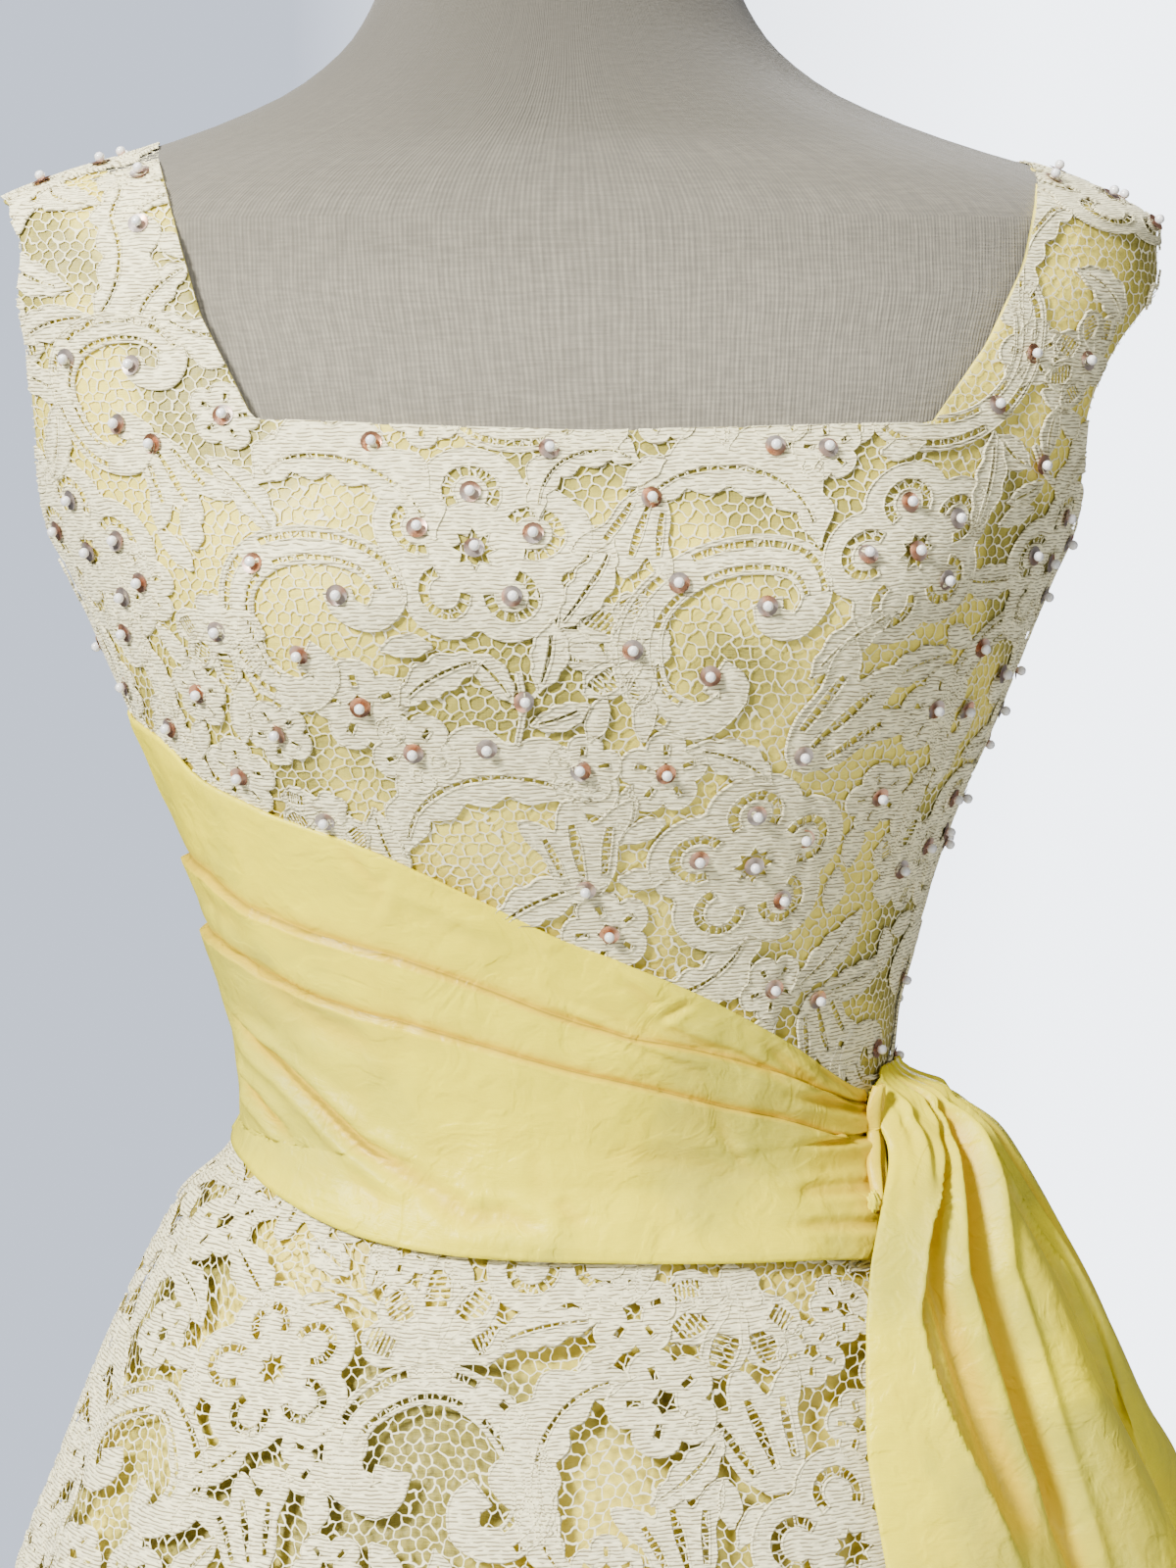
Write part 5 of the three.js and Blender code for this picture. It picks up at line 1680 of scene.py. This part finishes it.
class GOWN_OT_skirt(bpy.types.Operator):
    """Hang the satin skirt and its lace overskirt"""
    bl_idname = "gown.skirt"
    bl_label = "Skirt"

    def execute(self, context):
        sizes = context.scene.gown_sizes
        for name, (middle, cut) in SKIRT_CUT.items():
            front = name == "front"
            sewn_to = ("front",) if front else ("back_left", "back_right")
            bodice = ["bodice_" + part + "_satin" for part in sewn_to]
            under = skirt_panel(middle, SATIN_HEM_Z, lambda a, z: 0.0 * z)
            satin = build_sheet("skirt_satin_" + name + "_cloth", under, 0.0, "under_satin",
                                "skirt_satin_" + name, sizes.skirt_wall)
            over = skirt_panel(middle, LACE_HEM_Z, lace_stand_off)
            lace = "skirt_lace_" + name
            net = build_sheet(lace + "_net", over, SKIRT_NET_OUT, "lace_net", lace)
            placed = over.lay_out(SKIRT_LAYOUT if front else (), (-10, 1010), 30, 1024)
            hidden = [lambda a, z: SASH("bottom", around(a)) + UNDER_SASH - z]
            for part, low, high, steps in (("upper", CLOSE_ABOVE_Z, WAIST_Z, 1.0),
                                           ("lower", LACE_HEM_Z, CLOSE_ABOVE_Z, 0.45)):
                near = [entry for entry in placed if low - 40 < entry[2] < high + 40]
                DETAIL.update(fine=part == "upper", steps=steps)
                (lace_motifs(lace + "_motifs_" + part, over, near, SKIRT_NET_OUT, hidden,
                                        low, high)[0])
        return {"FINISHED"}


# ------------------------------------------------------------------ stage

FLOOR_RADIUS = 1.7
# The backdrop is greyer on the left and near white on the right; it gives the objects a dim light.
BACKDROP = {"left": (0.90, 1.0, 1.22, 1), "right": (4.4, 4.7, 5.2, 1), "blend": 0.22,
            "light": (0.16, 0.17, 0.19, 1)}
# Lamps: name, place, the height they aim at on the middle line, diameter in metres and watts.
LIGHTS = (("key", (-1.7, -1.7, 2.7), 1.1, 0.6, 240.0), ("fill", (1.9, -2.7, 1.5), 1.0, 1.8, 36.0),
          ("top", (-0.4, -0.3, 3.2), 1.0, 1.0, 55.0), ("back", (0.8, 2.6, 1.8), 0.9, 1.6, 40.0))
# The camera: turned and rolled in degrees; its aim, distance, rise and the height seen, in metres.
CAMERA = {"turn": 5.0, "roll": 0.65, "right": 0.007, "z": 1.148, "away": 1.150, "rise": 0.100,
          "height": 0.560}


class GOWN_OT_stage(bpy.types.Operator):
    """Set the floor, the lights and the camera"""
    bl_idname = "gown.stage"
    bl_label = "Stage"

    def execute(self, context):
        scene = context.scene
        select_none()
        bpy.ops.mesh.primitive_circle_add(vertices=96, radius=FLOOR_RADIUS, fill_type="NGON")
        floor = context.active_object
        floor.name = "stage_floor_disc"
        floor.data.materials.append(finish_for("stage_floor"))

        world = bpy.data.worlds.new("studio")
        scene.world = world
        world.use_nodes = True
        nodes, links = world.node_tree.nodes, world.node_tree.links
        where = nodes.new("ShaderNodeTexCoord")
        split = nodes.new("ShaderNodeSeparateXYZ")
        fade = nodes.new("ShaderNodeMapRange")
        mix = nodes.new("ShaderNodeMix")
        mix.data_type = "RGBA"
        links.new(where.outputs["Generated"], split.inputs[0])
        links.new(split.outputs[0], fade.inputs[0])
        fade.inputs[1].default_value, fade.inputs[2].default_value = 0.0, BACKDROP["blend"]
        links.new(fade.outputs[0], mix.inputs[0])
        mix.inputs[6].default_value = BACKDROP["left"]
        mix.inputs[7].default_value = BACKDROP["right"]
        ray = nodes.new("ShaderNodeLightPath")
        seen = nodes.new("ShaderNodeMix")
        seen.data_type = "RGBA"
        seen.inputs[6].default_value = BACKDROP["light"]
        links.new(ray.outputs["Is Camera Ray"], seen.inputs[0])
        links.new(mix.outputs[2], seen.inputs[7])
        links.new(seen.outputs[2], nodes["Background"].inputs[0])

        for name, place, aim_z, size, power in LIGHTS:
            light = bpy.data.lights.new(name, "AREA")
            light.shape, light.size, light.energy = "DISK", size, power
            lamp = bpy.data.objects.new(name, light)
            lamp.location = place
            lamp.rotation_euler = (Vector((0, 0, aim_z)) - lamp.location).to_track_quat("-Z", "Y").to_euler()
            scene.collection.objects.link(lamp)

        turn, roll = math.radians(CAMERA["turn"]), math.radians(CAMERA["roll"])
        forward = Vector((math.sin(turn), math.cos(turn), 0.0))
        right = Vector((math.cos(turn), -math.sin(turn), 0.0))
        target = right * CAMERA["right"] + Vector((0, 0, CAMERA["z"]))
        place = target - forward * CAMERA["away"] + Vector((0, 0, CAMERA["rise"]))
        look = (target - place).normalized()
        side = look.cross(Vector((0, 0, 1))).normalized()
        up = side.cross(look)
        side, up = (side * math.cos(roll) - up * math.sin(roll), up * math.cos(roll) + side * math.sin(roll))
        data = bpy.data.cameras.new("camera")
        data.sensor_fit, data.sensor_height = "VERTICAL", 36.0
        data.lens = data.sensor_height * (target - place).length / CAMERA["height"]
        data.clip_start, data.clip_end = 0.05, 50.0
        camera = bpy.data.objects.new("camera", data)
        camera.matrix_world = Matrix((
            (side.x, up.x, -look.x, place.x), (side.y, up.y, -look.y, place.y),
            (side.z, up.z, -look.z, place.z), (0, 0, 0, 1)))
        scene.collection.objects.link(camera)
        scene.camera = camera
        return {"FINISHED"}


class GOWN_PT_panel(bpy.types.Panel):
    """The steps that build the gown"""
    bl_idname = "GOWN_PT_panel"
    bl_label = "Lace gown"
    bl_space_type = "VIEW_3D"
    bl_region_type = "UI"
    bl_category = "Gown"

    def draw(self, context):
        for group in (context.scene.gown_sizes, context.scene.gown_looks):
            for key in group.bl_rna.properties.keys()[1:]:
                self.layout.prop(group, key)
        for step in STEPS:
            self.layout.operator(step.bl_idname)


STEPS = (GOWN_OT_stage, GOWN_OT_form, GOWN_OT_bodice, GOWN_OT_beads, GOWN_OT_skirt, GOWN_OT_sash)
CLASSES = (GownLooks, GownSizes, *STEPS, GOWN_PT_panel)


def register():
    for cls in CLASSES:
        bpy.utils.register_class(cls)
    bpy.types.Scene.gown_looks = PointerProperty(type=GownLooks)
    bpy.types.Scene.gown_sizes = PointerProperty(type=GownSizes)


def unregister():
    del bpy.types.Scene.gown_sizes
    del bpy.types.Scene.gown_looks
    for cls in reversed(CLASSES):
        bpy.utils.unregister_class(cls)


def main():
    register()
    for step in STEPS:
        getattr(bpy.ops.gown, step.bl_idname.split(".")[1])()
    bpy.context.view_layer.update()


if __name__ == "__main__":
    main()
